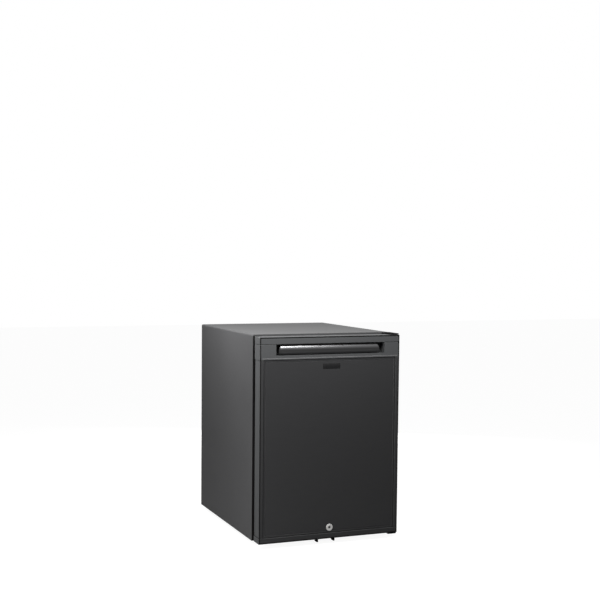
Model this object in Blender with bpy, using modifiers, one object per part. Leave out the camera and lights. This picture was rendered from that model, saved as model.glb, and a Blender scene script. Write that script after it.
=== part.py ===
"""Free-standing minibar fridge with an absorption cooling unit.

Metres, +Z up, front towards -Y. The origin is on the floor, under the middle of the fridge.
"""

import math

import bmesh
import bpy
from mathutils import Matrix, Vector

MM = 0.001

# Whole fridge
CABINET_WIDTH = 399 * MM
DOOR_OVERHANG = 1.5 * MM
HEIGHT = 560 * MM
DEPTH = 512 * MM
FOOT_HEIGHT = 12 * MM
SHEET = 1 * MM
FIT = 0.3 * MM

# Insulated body
SIDE_WALL = 39.5 * MM
TOP_WALL = 36 * MM
BOTTOM_WALL = 70 * MM
BACK_WALL = 45 * MM
REAR_SPACE = 87 * MM
LINER = 2 * MM
LIP = 6 * MM
WRAP_ROUND = 4 * MM
CAVITY_ROUND = 9 * MM

# Runners and wire shelves
RUNNER_REACH = 7 * MM
RUNNER_HEIGHT = 6 * MM
RUNNER_FRONT = 92 * MM
LOWEST_RUNNER = 76 * MM
RUNNER_PITCH = 68 * MM
RUNNER_LEVELS = 4
SHELF_LEVELS = {"shelf_lower": 1, "shelf_upper": 3}
SHELF_PLAY = 1.5 * MM
SHELF_ROD = 2.5 * MM
SHELF_WIRE = 1.5 * MM
SHELF_GAP = 22 * MM
SHELF_STOP = 9 * MM

# Evaporator in the cavity
FIN_PLATE_WIDTH = 190 * MM
FIN_PLATE_HEIGHT = 105 * MM
FIN_PLATE_DROP = 12 * MM
FIN_PLATE = 2.5 * MM
FIN_REACH = 18 * MM
FIN = 1.6 * MM
FIN_GAP = 13 * MM
CLAMP_DEPTH = 14 * MM
CLAMP_HEIGHT = 34 * MM
PIPE_SPREAD = 60 * MM

# Thermostat and lamp
CONTROL_WIDTH = 34 * MM
CONTROL_DEPTH = 120 * MM
CONTROL_HEIGHT = 48 * MM
CONTROL_DROP = 10 * MM
CONTROL_BACK = 52 * MM
DIAL_RADIUS = 14 * MM
DIAL_DEPTH = 9 * MM
DIAL_TAPER = 0.9
DIAL_GRIP = 11.9 * MM
DIAL_SHAFT = 3 * MM
DIAL_SHAFT_REACH = 10 * MM
LAMP_LENGTH = 84 * MM
LAMP_HEIGHT = 30 * MM
LAMP_BULGE = 9 * MM

# Feet
FOOT_RADIUS = 15 * MM
FOOT_INSET = 35 * MM
FOOT_FROM_ENDS = 32 * MM
FOOT_RECESS = 5 * MM
FOOT_TAPER = 1.5 * MM
FOOT_BEVEL = 1 * MM

# Door shell
DOOR_DEPTH = 38.6 * MM
SEAL_DEPTH = 19.8 * MM
TOP_CAP = 19.5 * MM
BOTTOM_CAP = 15.3 * MM
HANDLE_BAND = 40 * MM
PROFILE_FACE = 9.5 * MM
PROFILE_WALL = 2 * MM
PANEL_INSET = 2 * MM
PANEL = 1.2 * MM
CAP_ROUND = 1.6 * MM
LINER_MARGIN = 4 * MM

# Handle
RECESS_FROM_ENDS = 45 * MM
RECESS_LOW = 10.8 * MM
RECESS_DEPTH = 28 * MM
RECESS_WALL = 2 * MM
BAND_WALL = 2.5 * MM
BAR_END_GAP = 10.5 * MM
BAR_HEIGHT = 24 * MM
BAR_LIFT = 1.8 * MM
BAR_SETBACK = 4 * MM
BAR_THICK = 5 * MM
BAR_BULGE = 5 * MM
BAR_POST = 4 * MM
BAR_POST_INSET = 35.5 * MM

# Door inside
PLUG_PLAY = 10 * MM
PLUG_DEPTH = 15 * MM
PLUG_LOW = 14 * MM
PLUG_TOP = 12 * MM
DYKE = 8 * MM
DYKE_REACH = 27 * MM
DYKE_END = 8 * MM
RACK_PLAY = 0.6 * MM
RACK_DEPTH = 52 * MM
RACK_WALL = 2.2 * MM
RACK_ROUND = 8 * MM
RACKS = {
    "rack_bottom": (30 * MM, 88 * MM),
    "rack_middle": (178 * MM, 62 * MM),
    "rack_top": (312 * MM, 62 * MM),
}
LUG_REACH = 4 * MM
LUG_HEIGHT = 5 * MM
LUG_LENGTH = 20 * MM

# Seal
SEAL_SIDE = 15.5 * MM
SEAL_LOW = 48 * MM
SEAL_TOP = 16 * MM
SEAL_WIDTH = 14 * MM
SEAL_BASE = 4 * MM
SEAL_HEAD = 7 * MM
SEAL_WAIST = 3 * MM

# Hinges
AXIS_INSET = 12.5 * MM
AXIS_BACK = 22 * MM
LEAF = 3 * MM
LEAF_GAP = 0.6 * MM
LEAF_WIDTH = 24 * MM
LEAF_FRONT = 2 * MM
TOP_LEG = 14.5 * MM
BOTTOM_LEG = 44 * MM
PIN_RADIUS = 4 * MM
PIN_SPIGOT = 3 * MM
PIN_REACH = 14 * MM
PIN_PLAY = 0.4 * MM
BUSH_WALL = 2.2 * MM

# Lock
LOCK_UP = 33.7 * MM
LOCK_RING = 10 * MM
LOCK_BARREL = 8.5 * MM
LOCK_PLUG = 4.8 * MM
LOCK_RING_DEPTH = 1.5 * MM
LOCK_NUT = 11 * MM
LOCK_NUT_DEPTH = 2.4 * MM
KEYWAY = 1.4 * MM
KEYWAY_LENGTH = 6.2 * MM
CAM_LENGTH = 26 * MM
CAM_WIDTH = 12 * MM
CAM = 2.5 * MM
CAM_ROUND = 5.4 * MM
STRIKE_WIDTH = 52 * MM
STRIKE = 2.2 * MM
STRIKE_FRONT = 24 * MM
STRIKE_BACK = 100 * MM
STRIKE_TONGUE = 28 * MM
STRIKE_TONGUE_TOP = 20 * MM
STRIKE_GAP = 2 * MM
STRIKE_TAB = 4 * MM
STRIKE_TAB_LENGTH = 16 * MM
STRIKE_TAB_DROP = 8 * MM

# Cooling unit
TUBE = 7 * MM
SMALL_TUBE = 5 * MM
BEND = 20 * MM
STRAP = 2 * MM
STRAP_HEIGHT = 22 * MM
STRAP_FOOT = 24 * MM
STRAP_FROM_BACK = 9.7 * MM
STRAP_LEVELS = {"unit_strap_lower": 130 * MM, "unit_strap_upper": 350 * MM}
BOILER_SIDE = 62 * MM
BOILER_LEFT = 110 * MM
BOILER_LOW = 90 * MM
BOILER_HEIGHT = 280 * MM
BOILER_ROUND = 8 * MM
CONDENSER_LENGTH = 196 * MM
CONDENSER_RIGHT = 95 * MM
CONDENSER_DROP = 48 * MM
CONDENSER_FALL = 8 * MM
COOLING_FIN = 1.2 * MM
COOLING_FIN_SIDE = 44 * MM
COOLING_FINS = 15
VESSEL_RADIUS = 25 * MM
VESSEL_LENGTH = 190 * MM
VESSEL_LEFT = -115 * MM
VESSEL_UP = 62 * MM
VESSEL_DOME = 10 * MM
COIL_LEFT = -150 * MM
COIL_LOW = 130 * MM
COIL_START_SHARE = 0.6
COIL_BEND_SHARE = 0.45
COIL_LOOPS = 3
COIL_RISE = 24 * MM
PIPE_DROP = 74 * MM
GAS_DROP = 64 * MM

# Electrical box and mains inlet
BOX_WIDTH = 62 * MM
BOX_DEPTH = 54 * MM
BOX_HEIGHT = 88 * MM
BOX_LEFT = -190 * MM
BOX_UP = 12 * MM
INLET_WIDTH = 34 * MM
INLET_HEIGHT = 27 * MM
INLET_FLANGE = 2.5 * MM
INLET_BODY = 24 * MM
INLET_WALL = 2 * MM
SOCKET_WIDTH = 23 * MM
SOCKET_HEIGHT = 15.5 * MM
SOCKET_DEPTH = 18 * MM
BLADE = (2 * MM, 13 * MM, 4 * MM)
BLADE_SPREAD = 7 * MM

# Vents in the base
VENT = (44 * MM, 8 * MM)
VENT_ROUND = 3.6 * MM
VENT_COLUMNS = 4
VENT_ROWS = 3
VENT_PITCH = (70 * MM, 18 * MM)

# Places worked out from the sizes above
SIDE = CABINET_WIDTH / 2
DOOR_SIDE = SIDE + DOOR_OVERHANG
FRONT = -DEPTH / 2
BACK = DEPTH / 2
BASE = FOOT_HEIGHT
DOOR_BACK = FRONT + DOOR_DEPTH
CABINET_FRONT = DOOR_BACK + SEAL_DEPTH
BODY_BACK = BACK - REAR_SPACE
CAVITY_SIDE = SIDE - SIDE_WALL
CAVITY_LOW = BASE + BOTTOM_WALL
CAVITY_TOP = HEIGHT - TOP_WALL
CAVITY_BACK = BODY_BACK - BACK_WALL
MOUTH_SIDE = CAVITY_SIDE + LIP
MOUTH_LOW = CAVITY_LOW - LIP
MOUTH_TOP = CAVITY_TOP + LIP
PANEL_BACK = BODY_BACK + FIT + SHEET
INSIDE = SIDE - SHEET - FIT

DOOR_LOW = BASE + LEAF + LEAF_GAP
DOOR_TOP = HEIGHT - LEAF - LEAF_GAP
BAND_TOP = DOOR_TOP - TOP_CAP
BAND_LOW = BAND_TOP - HANDLE_BAND
PANEL_LOW = DOOR_LOW + BOTTOM_CAP
PANEL_SIDE = SIDE - PROFILE_FACE
LINER_FRONT = DOOR_BACK - LINER
PLUG_SIDE = CAVITY_SIDE - PLUG_PLAY
PLUG_FACE = CABINET_FRONT + PLUG_DEPTH
PLUG_SPAN = (CAVITY_LOW + PLUG_LOW, CAVITY_TOP - PLUG_TOP)
RACK_SIDE = PLUG_SIDE - DYKE - RACK_PLAY
RECESS_FLOOR = BAND_LOW + RECESS_LOW
RECESS_SIDE = DOOR_SIDE - RECESS_FROM_ENDS
BAR_SIDE = RECESS_SIDE - BAR_END_GAP
BAR_LOW = RECESS_FLOOR + BAR_LIFT

HINGE_X = SIDE - AXIS_INSET
HINGE_Y = FRONT + AXIS_BACK
LOCK_Z = BASE + LOCK_UP
NUT_BACK = DOOR_BACK + LOCK_NUT_DEPTH + FIT
CAM_FRONT = DOOR_BACK + STRIKE_GAP + STRIKE + STRIKE_GAP
PIPE_Z = CAVITY_TOP - PIPE_DROP
STRAP_FRONT = BACK - STRAP_FROM_BACK
COIL_Y = STRAP_FRONT - FIT - TUBE
VESSEL_Y = COIL_Y - TUBE - VESSEL_RADIUS / 2
COIL_END = PIPE_Z - GAS_DROP
COIL_PITCH = (COIL_END - COIL_RISE - BASE - COIL_LOW) / (2 * COIL_LOOPS - 1)
COIL_BEND = COIL_PITCH * COIL_BEND_SHARE
BOILER_BACK = STRAP_FRONT - FIT
BOILER_X = BOILER_LEFT + BOILER_SIDE / 2
BOILER_Y = BOILER_BACK - BOILER_SIDE / 2
CLAMP_FRONT = CAVITY_BACK - FIT - CLAMP_DEPTH
FIN_TOP = CAVITY_TOP - FIN_PLATE_DROP
FIN_SPAN = (FIN_TOP - FIN_PLATE_HEIGHT, FIN_TOP)
CONTROL_TOP = CAVITY_TOP - CONTROL_DROP
CONTROL_LEFT = CAVITY_SIDE - FIT - CONTROL_WIDTH
CONTROL_END = CAVITY_BACK - CONTROL_BACK
CONTROL_FRONT = CONTROL_END - CONTROL_DEPTH
BOX_BACK = PANEL_BACK + FIT + BOX_DEPTH

SIDES = 24
CONDENSER_SIDES = 16
BEND_STEPS = 4


# Scene and materials


def clear_scene():
    for obj in list(bpy.data.objects):
        bpy.data.objects.remove(obj, do_unlink=True)


def add_collection(name):
    collection = bpy.data.collections.new(name)
    bpy.context.scene.collection.children.link(collection)
    return collection


def finish(name, colour, roughness, metallic=0.0):
    material = bpy.data.materials.new(name)
    material.use_nodes = True
    shader = material.node_tree.nodes["Principled BSDF"]
    shader.inputs["Base Color"].default_value = (*colour, 1.0)
    shader.inputs["Roughness"].default_value = roughness
    shader.inputs["Metallic"].default_value = metallic
    material.diffuse_color = (*colour, 1.0)
    return material


clear_scene()
FRIDGE = add_collection("minibar_fridge")
CUTTERS = add_collection("cutters")

PAINT = finish("grey_paint", (0.11, 0.11, 0.11), 0.45)
PANEL_GREY = finish("door_panel_grey", (0.045, 0.045, 0.045), 0.4)
DARK_PLASTIC = finish("dark_plastic", (0.09, 0.09, 0.09), 0.5)
BLACK = finish("black_plastic", (0.015, 0.015, 0.015), 0.5)
RUBBER = finish("black_rubber", (0.02, 0.02, 0.02), 0.8)
WHITE = finish("white_liner", (0.8, 0.8, 0.78), 0.35)
FOAM = finish("insulation", (0.75, 0.65, 0.35), 0.9)
CHROME = finish("satin_chrome", (0.75, 0.75, 0.76), 0.22, 1.0)
WIRE = finish("coated_wire", (0.82, 0.82, 0.82), 0.35)
ALUMINIUM = finish("aluminium", (0.7, 0.7, 0.71), 0.35, 1.0)
STEEL = finish("zinc_steel", (0.5, 0.5, 0.5), 0.4, 1.0)
BLACK_STEEL = finish("black_steel", (0.02, 0.02, 0.02), 0.5)
CLEAR = finish("frosted_lens", (0.85, 0.85, 0.8), 0.3)


# Shapes


def add_object(name, data, material):
    """A node of the fridge, or a hidden cutter where no material is given."""
    obj = bpy.data.objects.new(name, data)
    if material is None:
        CUTTERS.objects.link(obj)
        obj.hide_render = True
        obj.display_type = "WIRE"
    else:
        FRIDGE.objects.link(obj)
        data.materials.append(material)
    return obj


def boxes(name, spans, material=None, rounding=0.0, along=None, steps=3):
    """Boxes given as (x, y, z) spans in one mesh, with all edges, or those along one axis, rounded."""
    centre = Vector([sum(span) / 2 for span in spans[0]])
    shape = bmesh.new()
    for span in spans:
        made = bmesh.ops.create_cube(shape, size=1.0)["verts"]
        bmesh.ops.scale(shape, vec=[high - low for low, high in span], verts=made)
        middle = Vector([sum(pair) / 2 for pair in span])
        bmesh.ops.translate(shape, vec=middle - centre, verts=made)
    if rounding:
        edges = [edge for edge in shape.edges if along is None or runs_along(edge, along)]
        bmesh.ops.bevel(
            shape, geom=edges, offset=rounding, segments=steps, profile=0.5, affect="EDGES"
        )
    mesh = bpy.data.meshes.new(name)
    shape.to_mesh(mesh)
    shape.free()
    obj = add_object(name, mesh, material)
    obj.location = centre
    return obj


def runs_along(edge, axis):
    run = edge.verts[1].co - edge.verts[0].co
    return abs(run["XYZ".index(axis)]) > 0.99 * run.length


def box(name, x, y, z, material=None, rounding=0.0, along=None, steps=3):
    return boxes(name, [(x, y, z)], material, rounding, along, steps)


def both_sides(inner, outer):
    """The span of a piece on the right, and of its twin on the left."""
    return (inner, outer), (-outer, -inner)


TURN_TO = {
    "X": Matrix.Rotation(math.radians(90), 4, "Y"),
    "Y": Matrix.Rotation(math.radians(-90), 4, "X"),
    "Z": Matrix.Identity(4),
}


def rods(name, starts, axis, radius, length, material=None, sides=SIDES):
    """Equal round bars in one mesh, each from its start along +X, +Y or +Z."""
    origin = Vector(starts[0])
    shape = bmesh.new()
    for start in starts:
        lift = Matrix.Translation((0, 0, length / 2))
        bmesh.ops.create_cone(
            shape,
            cap_ends=True,
            segments=sides,
            radius1=radius,
            radius2=radius,
            depth=length,
            matrix=Matrix.Translation(Vector(start) - origin) @ TURN_TO[axis] @ lift,
        )
    mesh = bpy.data.meshes.new(name)
    shape.to_mesh(mesh)
    shape.free()
    obj = add_object(name, mesh, material)
    obj.location = origin
    shade(obj)
    return obj


def rod(name, start, axis, radius, length, material=None, sides=SIDES):
    return rods(name, [start], axis, radius, length, material, sides)


def turned(name, profile, start, axis, material=None, closed=False, sides=SIDES):
    """A profile of (radius, along) points, from its far end down the outside, turned round an axis."""
    mesh = bpy.data.meshes.new(name)
    shape = bmesh.new()
    points = [shape.verts.new((radius, 0, along)) for radius, along in profile]
    for first, second in zip(points, points[1:]):
        shape.edges.new((first, second))
    if closed:
        shape.edges.new((points[-1], points[0]))
    shape.to_mesh(mesh)
    shape.free()
    obj = add_object(name, mesh, material)
    obj.matrix_world = Matrix.Translation(start) @ TURN_TO[axis]
    screw = obj.modifiers.new("turn", "SCREW")
    screw.steps = screw.render_steps = sides
    screw.use_merge_vertices = True
    screw.merge_threshold = 0.00001
    return obj


def folded(name, fold, span, axis, thickness, material):
    """A sheet folded along a line of points, across an X or Z span, thickened on its left side."""
    mesh = bpy.data.meshes.new(name)
    shape = bmesh.new()
    rows = []
    for end in span:
        if axis == "X":
            rows.append([shape.verts.new((end, a, b)) for a, b in fold])
        else:
            rows.append([shape.verts.new((a, b, end)) for a, b in fold])
    for index in range(len(fold) - 1):
        near, far = rows
        shape.faces.new((near[index], near[index + 1], far[index + 1], far[index]))
    shape.to_mesh(mesh)
    shape.free()
    obj = add_object(name, mesh, material)
    solid = obj.modifiers.new("sheet", "SOLIDIFY")
    solid.thickness = thickness
    solid.offset = 1.0
    solid.use_even_offset = True
    return obj


def outline(name, points, x, material):
    """A flat (y, z) outline, made solid across an x span."""
    curve = bpy.data.curves.new(name, "CURVE")
    curve.dimensions = "2D"
    curve.fill_mode = "BOTH"
    curve.extrude = (x[1] - x[0]) / 2
    spline = curve.splines.new("POLY")
    spline.points.add(len(points) - 1)
    for point, (y, z) in zip(spline.points, points):
        point.co = (y, z, 0, 1)
    spline.use_cyclic_u = True
    obj = add_object(name, curve, material)
    obj.matrix_world = Matrix.Translation((sum(x) / 2, 0, 0)) @ Matrix(
        ((0, 0, 1, 0), (1, 0, 0, 0), (0, 1, 0, 0), (0, 0, 0, 1))
    )
    return obj


def rounded(route, bend, closed=False):
    """The route with each inner corner replaced by an arc of radius bend."""
    points = [Vector(point) for point in route]
    count = len(points)
    path = []
    for index, corner in enumerate(points):
        if not closed and index in (0, count - 1):
            path.append(corner)
            continue
        back = (points[index - 1] - corner).normalized()
        ahead = (points[(index + 1) % count] - corner).normalized()
        half = back.angle(ahead) / 2
        centre = corner + (back + ahead).normalized() * bend / math.sin(half)
        first = corner + back * bend / math.tan(half) - centre
        sweep = first.rotation_difference(corner + ahead * bend / math.tan(half) - centre)
        for step in range(BEND_STEPS + 1):
            turn = Matrix.Rotation(sweep.angle * step / BEND_STEPS, 3, sweep.axis)
            path.append(centre + turn @ first)
    return path


def tube(name, route, radius, material=None, bend=BEND, closed=False):
    """A round tube along the route, with filled ends."""
    path = rounded(route, bend, closed)
    curve = bpy.data.curves.new(name, "CURVE")
    curve.dimensions = "3D"
    curve.bevel_depth = radius
    curve.bevel_resolution = 2
    curve.use_fill_caps = True
    spline = curve.splines.new("POLY")
    spline.points.add(len(path) - 1)
    for point, place in zip(spline.points, path):
        point.co = (*place, 1)
    spline.use_cyclic_u = closed
    return add_object(name, curve, material)


def as_mesh(curve_object, material):
    """The curve's mesh under the same name, with its loose caps welded."""
    bpy.context.view_layer.update()
    graph = bpy.context.evaluated_depsgraph_get()
    mesh = bpy.data.meshes.new_from_object(curve_object.evaluated_get(graph))
    shape = bmesh.new()
    shape.from_mesh(mesh)
    bmesh.ops.remove_doubles(shape, verts=shape.verts, dist=0.000001)
    bmesh.ops.recalc_face_normals(shape, faces=shape.faces)
    shape.to_mesh(mesh)
    shape.free()
    mesh.materials.clear()
    name = curve_object.name
    place = curve_object.matrix_world.copy()
    bpy.data.objects.remove(curve_object, do_unlink=True)
    obj = add_object(name, mesh, material)
    obj.matrix_world = place
    return obj


def shade(obj):
    obj.data.shade_smooth()
    obj.data.set_sharp_from_angle(angle=math.radians(35))


def boolean(target, tool, operation):
    modifier = target.modifiers.new(tool.name, "BOOLEAN")
    modifier.operation = operation
    modifier.object = tool
    modifier.solver = "EXACT"
    bpy.context.view_layer.update()
    tool.parent = target
    tool.matrix_parent_inverse = target.matrix_world.inverted()
    return target


def cut(target, *tools):
    for tool in tools:
        boolean(target, tool, "DIFFERENCE")
    return target


def join(target, *tools):
    for tool in tools:
        boolean(target, tool, "UNION")
    return target


def hang(name, place, pieces, parent=None):
    """An empty at a joint's axis, which carries the pieces that move about it."""
    empty = bpy.data.objects.new(name, None)
    empty.empty_display_size = 0.03
    empty.location = place
    FRIDGE.objects.link(empty)
    bpy.context.view_layer.update()
    for obj in pieces:
        obj.parent = empty
        obj.matrix_parent_inverse = empty.matrix_world.inverted()
    return empty


# Cabinet


def make_outer_wrap():
    """Top and sides in one folded sheet, with a flange round the mouth that the seal grips."""
    wrap = box(
        "outer_wrap",
        (-SIDE, SIDE),
        (CABINET_FRONT, BACK),
        (BASE - BOTTOM_WALL, HEIGHT),
        PAINT,
        WRAP_ROUND,
        "Y",
    )
    inner = box(
        "wrap_inside",
        (-SIDE + SHEET, SIDE - SHEET),
        (CABINET_FRONT + SHEET, BACK + REAR_SPACE),
        (BASE - 2 * BOTTOM_WALL, HEIGHT - SHEET),
        None,
        WRAP_ROUND - SHEET,
        "Y",
    )
    mouth = box(
        "wrap_mouth",
        (-MOUTH_SIDE, MOUTH_SIDE),
        (CABINET_FRONT - SEAL_DEPTH, BODY_BACK),
        (BASE - 2 * BOTTOM_WALL, MOUTH_TOP),
    )
    below = box(
        "wrap_below",
        (-SIDE - SHEET, SIDE + SHEET),
        (CABINET_FRONT - SHEET, BACK + SHEET),
        (BASE - 3 * BOTTOM_WALL, BASE),
    )
    return cut(wrap, inner, mouth, below)


def make_base_panel():
    """Floor sheet with an upstand that closes the front under the mouth, and vents at the back."""
    side = MOUTH_SIDE - FIT
    floor = (BASE, BASE + SHEET)
    behind = CABINET_FRONT + SHEET + FIT
    base = box("base_panel", (-INSIDE, INSIDE), (behind, BACK), floor, PAINT)
    tongue = box("base_tongue", (-side, side), (CABINET_FRONT, behind + LIP), floor)
    upstand = box(
        "base_upstand",
        (-side, side),
        (CABINET_FRONT, CABINET_FRONT + SHEET),
        (BASE, MOUTH_LOW),
    )
    middle = (PANEL_BACK + BACK) / 2
    spans = []
    for column in range(VENT_COLUMNS):
        x = (column - (VENT_COLUMNS - 1) / 2) * VENT_PITCH[0]
        for row in range(VENT_ROWS):
            y = middle + (row - (VENT_ROWS - 1) / 2) * VENT_PITCH[1]
            spans.append(
                (
                    (x - VENT[0] / 2, x + VENT[0] / 2),
                    (y - VENT[1] / 2, y + VENT[1] / 2),
                    (BASE - SHEET, BASE + 2 * SHEET),
                )
            )
    vents = boxes("base_vents", spans, None, VENT_ROUND, "Z", 2)
    return cut(join(base, tongue, upstand), vents)


def pipe_holes(name, radius, y):
    """Cutters for the two pipes that run from the cooling unit to the evaporator."""
    starts = [(side * PIPE_SPREAD, y[0], PIPE_Z) for side in (-1, 1)]
    return rods(name, starts, "Y", radius, y[1] - y[0])


def make_rear_panel():
    panel = box(
        "rear_panel",
        (-INSIDE, INSIDE),
        (BODY_BACK + FIT, PANEL_BACK),
        (BASE + SHEET + FIT, HEIGHT - SHEET - FIT),
        STEEL,
        WRAP_ROUND - SHEET,
        "Y",
    )
    holes = pipe_holes("rear_panel_holes", TUBE + 2 * FIT, (BODY_BACK, BACK))
    return cut(panel, holes)


def make_foam():
    foam = box(
        "insulation_foam",
        (-INSIDE, INSIDE),
        (CABINET_FRONT + SHEET + FIT, BODY_BACK),
        (BASE + SHEET + FIT, HEIGHT - SHEET - FIT),
        FOAM,
        WRAP_ROUND - SHEET,
        "Y",
    )
    gap = LINER + FIT
    cavity = box(
        "foam_cavity",
        (-CAVITY_SIDE - gap, CAVITY_SIDE + gap),
        (CABINET_FRONT - SHEET, CAVITY_BACK + gap),
        (CAVITY_LOW - gap, CAVITY_TOP + gap),
        None,
        CAVITY_ROUND + LINER,
        "Y",
    )
    lip = box(
        "foam_lip",
        (-MOUTH_SIDE, MOUTH_SIDE),
        (CABINET_FRONT - SHEET, CABINET_FRONT + gap),
        (MOUTH_LOW, MOUTH_TOP),
    )
    holes = pipe_holes("foam_holes", TUBE + 2 * FIT, (CAVITY_BACK, BACK))
    return cut(foam, cavity, lip, holes)


def runner_spans():
    """Ledges on both side walls, one pair for each level a shelf can take."""
    spans = []
    for level in range(RUNNER_LEVELS):
        low = CAVITY_LOW + LOWEST_RUNNER + level * RUNNER_PITCH
        for x in both_sides(CAVITY_SIDE - RUNNER_REACH, CAVITY_SIDE + LINER / 2):
            spans.append(
                (x, (CABINET_FRONT + RUNNER_FRONT, CAVITY_BACK + LINER / 2), (low, low + RUNNER_HEIGHT))
            )
    return spans


def make_inner_liner():
    """The white tub, with its front lip and the shelf runners."""
    liner = box(
        "inner_liner",
        (-CAVITY_SIDE - LINER, CAVITY_SIDE + LINER),
        (CABINET_FRONT, CAVITY_BACK + LINER),
        (CAVITY_LOW - LINER, CAVITY_TOP + LINER),
        WHITE,
        CAVITY_ROUND + LINER,
        "Y",
    )
    lip = box(
        "liner_lip",
        (-MOUTH_SIDE + FIT, MOUTH_SIDE - FIT),
        (CABINET_FRONT, CABINET_FRONT + LINER),
        (MOUTH_LOW + FIT, MOUTH_TOP - FIT),
    )
    inside = box(
        "liner_inside",
        (-CAVITY_SIDE, CAVITY_SIDE),
        (CABINET_FRONT - LINER, CAVITY_BACK),
        (CAVITY_LOW, CAVITY_TOP),
        None,
        CAVITY_ROUND,
        "Y",
    )
    runners = boxes("liner_runners", runner_spans())
    holes = pipe_holes("liner_holes", TUBE + 2 * FIT, (CAVITY_BACK - LINER, BACK))
    return cut(join(cut(join(liner, lip), inside), runners), holes)


def make_shelf(name, level):
    """A welded wire shelf: a rod frame, wires from front to back, and a turned-up stop at the back."""
    side = CAVITY_SIDE - SHELF_PLAY - SHELF_ROD
    rest = CAVITY_LOW + LOWEST_RUNNER + level * RUNNER_PITCH + RUNNER_HEIGHT
    z = rest + FIT + SHELF_ROD
    front = CABINET_FRONT + RUNNER_FRONT - SHELF_ROD
    back = CAVITY_BACK - FIN_REACH - FIN_PLATE - CLAMP_DEPTH - SHELF_PLAY - SHELF_ROD
    corners = [(-side, front, z), (side, front, z), (side, back, z), (-side, back, z)]
    frame = as_mesh(tube(name, corners, SHELF_ROD, None, 4 * SHELF_ROD, True), WIRE)
    count = int((2 * side - SHELF_GAP) / SHELF_GAP)
    first = -(count - 1) / 2 * SHELF_GAP
    sunk = SHELF_ROD / 4
    length = back - front + 2 * sunk
    starts = [(first + index * SHELF_GAP, front - sunk, z + sunk) for index in range(count)]
    wires = rods(name + "_wires", starts, "Y", SHELF_WIRE, length, sides=6)
    brace_start = (-side - sunk, (front + back) / 2, z - sunk)
    brace = rod(name + "_brace", brace_start, "X", SHELF_WIRE, 2 * (side + sunk), sides=6)
    stop_span = (back - SHELF_WIRE / 2, back + SHELF_WIRE / 2)
    stop = box(
        name + "_stop", (-side + SHELF_GAP, side - SHELF_GAP), stop_span, (z, z + SHELF_STOP)
    )
    shelf = join(frame, wires, brace, stop)
    shade(shelf)
    return shelf


def make_evaporator_fins():
    """Finned aluminium block on the cavity's back wall, with a clamp round the two pipe ends."""
    half = FIN_PLATE_WIDTH / 2
    front = CLAMP_FRONT - FIN_PLATE
    plate = box("evaporator_fins", (-half, half), (front, CLAMP_FRONT), FIN_SPAN, ALUMINIUM)
    count = int((FIN_PLATE_WIDTH - FIN) / FIN_GAP)
    first = -count / 2 * FIN_GAP
    spans = []
    for index in range(count + 1):
        x = first + index * FIN_GAP
        spans.append(((x - FIN / 2, x + FIN / 2), (front - FIN_REACH, front + FIN_PLATE / 2), FIN_SPAN))
    fins = boxes("evaporator_blades", spans)
    reach = PIPE_SPREAD + TUBE + CLAMP_DEPTH / 2
    clamp = box(
        "evaporator_clamp",
        (-reach, reach),
        (CLAMP_FRONT - FIN_PLATE / 2, CAVITY_BACK - FIT),
        (PIPE_Z - CLAMP_HEIGHT / 2, PIPE_Z + CLAMP_HEIGHT / 2),
    )
    holes = pipe_holes("evaporator_bores", TUBE + FIT, (CLAMP_FRONT + FIN_PLATE, BACK))
    return cut(join(plate, fins, clamp), holes)


def make_controls():
    """Housing on the right wall, with the thermostat's dial on its front and the lamp's lens on its side."""
    x = (CONTROL_LEFT, CAVITY_SIDE - FIT)
    z = (CONTROL_TOP - CONTROL_HEIGHT, CONTROL_TOP)
    dial_place = (sum(x) / 2, CONTROL_FRONT, sum(z) / 2)
    housing = box("control_box", x, (CONTROL_FRONT, CONTROL_END), z, WHITE, 3 * MM, None, 2)
    bore_start = (dial_place[0], dial_place[1] - SHEET, dial_place[2])
    bore = rod("dial_bore", bore_start, "Y", DIAL_SHAFT + FIT, DIAL_SHAFT_REACH + 2 * SHEET)
    cut(housing, bore)
    profile = [
        (0, DIAL_SHAFT_REACH),
        (DIAL_SHAFT, DIAL_SHAFT_REACH),
        (DIAL_SHAFT, -FIT),
        (DIAL_RADIUS, -FIT),
        (DIAL_RADIUS, -FIT - DIAL_DEPTH / 3),
        (DIAL_RADIUS * DIAL_TAPER, -FIT - DIAL_DEPTH / 2),
        (0, -FIT - DIAL_DEPTH / 2),
    ]
    dial = turned("thermostat_dial", profile, dial_place, "Y", WHITE)
    grip = box(
        "dial_grip",
        (dial_place[0] - DIAL_SHAFT, dial_place[0] + DIAL_SHAFT),
        (CONTROL_FRONT - FIT - DIAL_DEPTH, CONTROL_FRONT - FIT - DIAL_DEPTH / 3),
        (dial_place[2] - DIAL_GRIP, dial_place[2] + DIAL_GRIP),
        None,
        1 * MM,
        None,
        2,
    )
    join(dial, grip)
    middle = (CONTROL_FRONT + CONTROL_END) / 2
    lens = box(
        "lamp_cover",
        (CONTROL_LEFT - FIT - LAMP_BULGE, CONTROL_LEFT - FIT),
        (middle - LAMP_LENGTH / 2, middle + LAMP_LENGTH / 2),
        (dial_place[2] - LAMP_HEIGHT / 2, dial_place[2] + LAMP_HEIGHT / 2),
        CLEAR,
        4 * MM,
    )
    hollow = box(
        "lamp_hollow",
        (CONTROL_LEFT - FIT - LAMP_BULGE + LINER, CONTROL_LEFT),
        (middle - LAMP_LENGTH / 2 + LINER, middle + LAMP_LENGTH / 2 - LINER),
        (dial_place[2] - LAMP_HEIGHT / 2 + LINER, dial_place[2] + LAMP_HEIGHT / 2 - LINER),
    )
    cut(lens, hollow)
    hang("thermostat_axis", dial_place, [dial])


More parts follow.
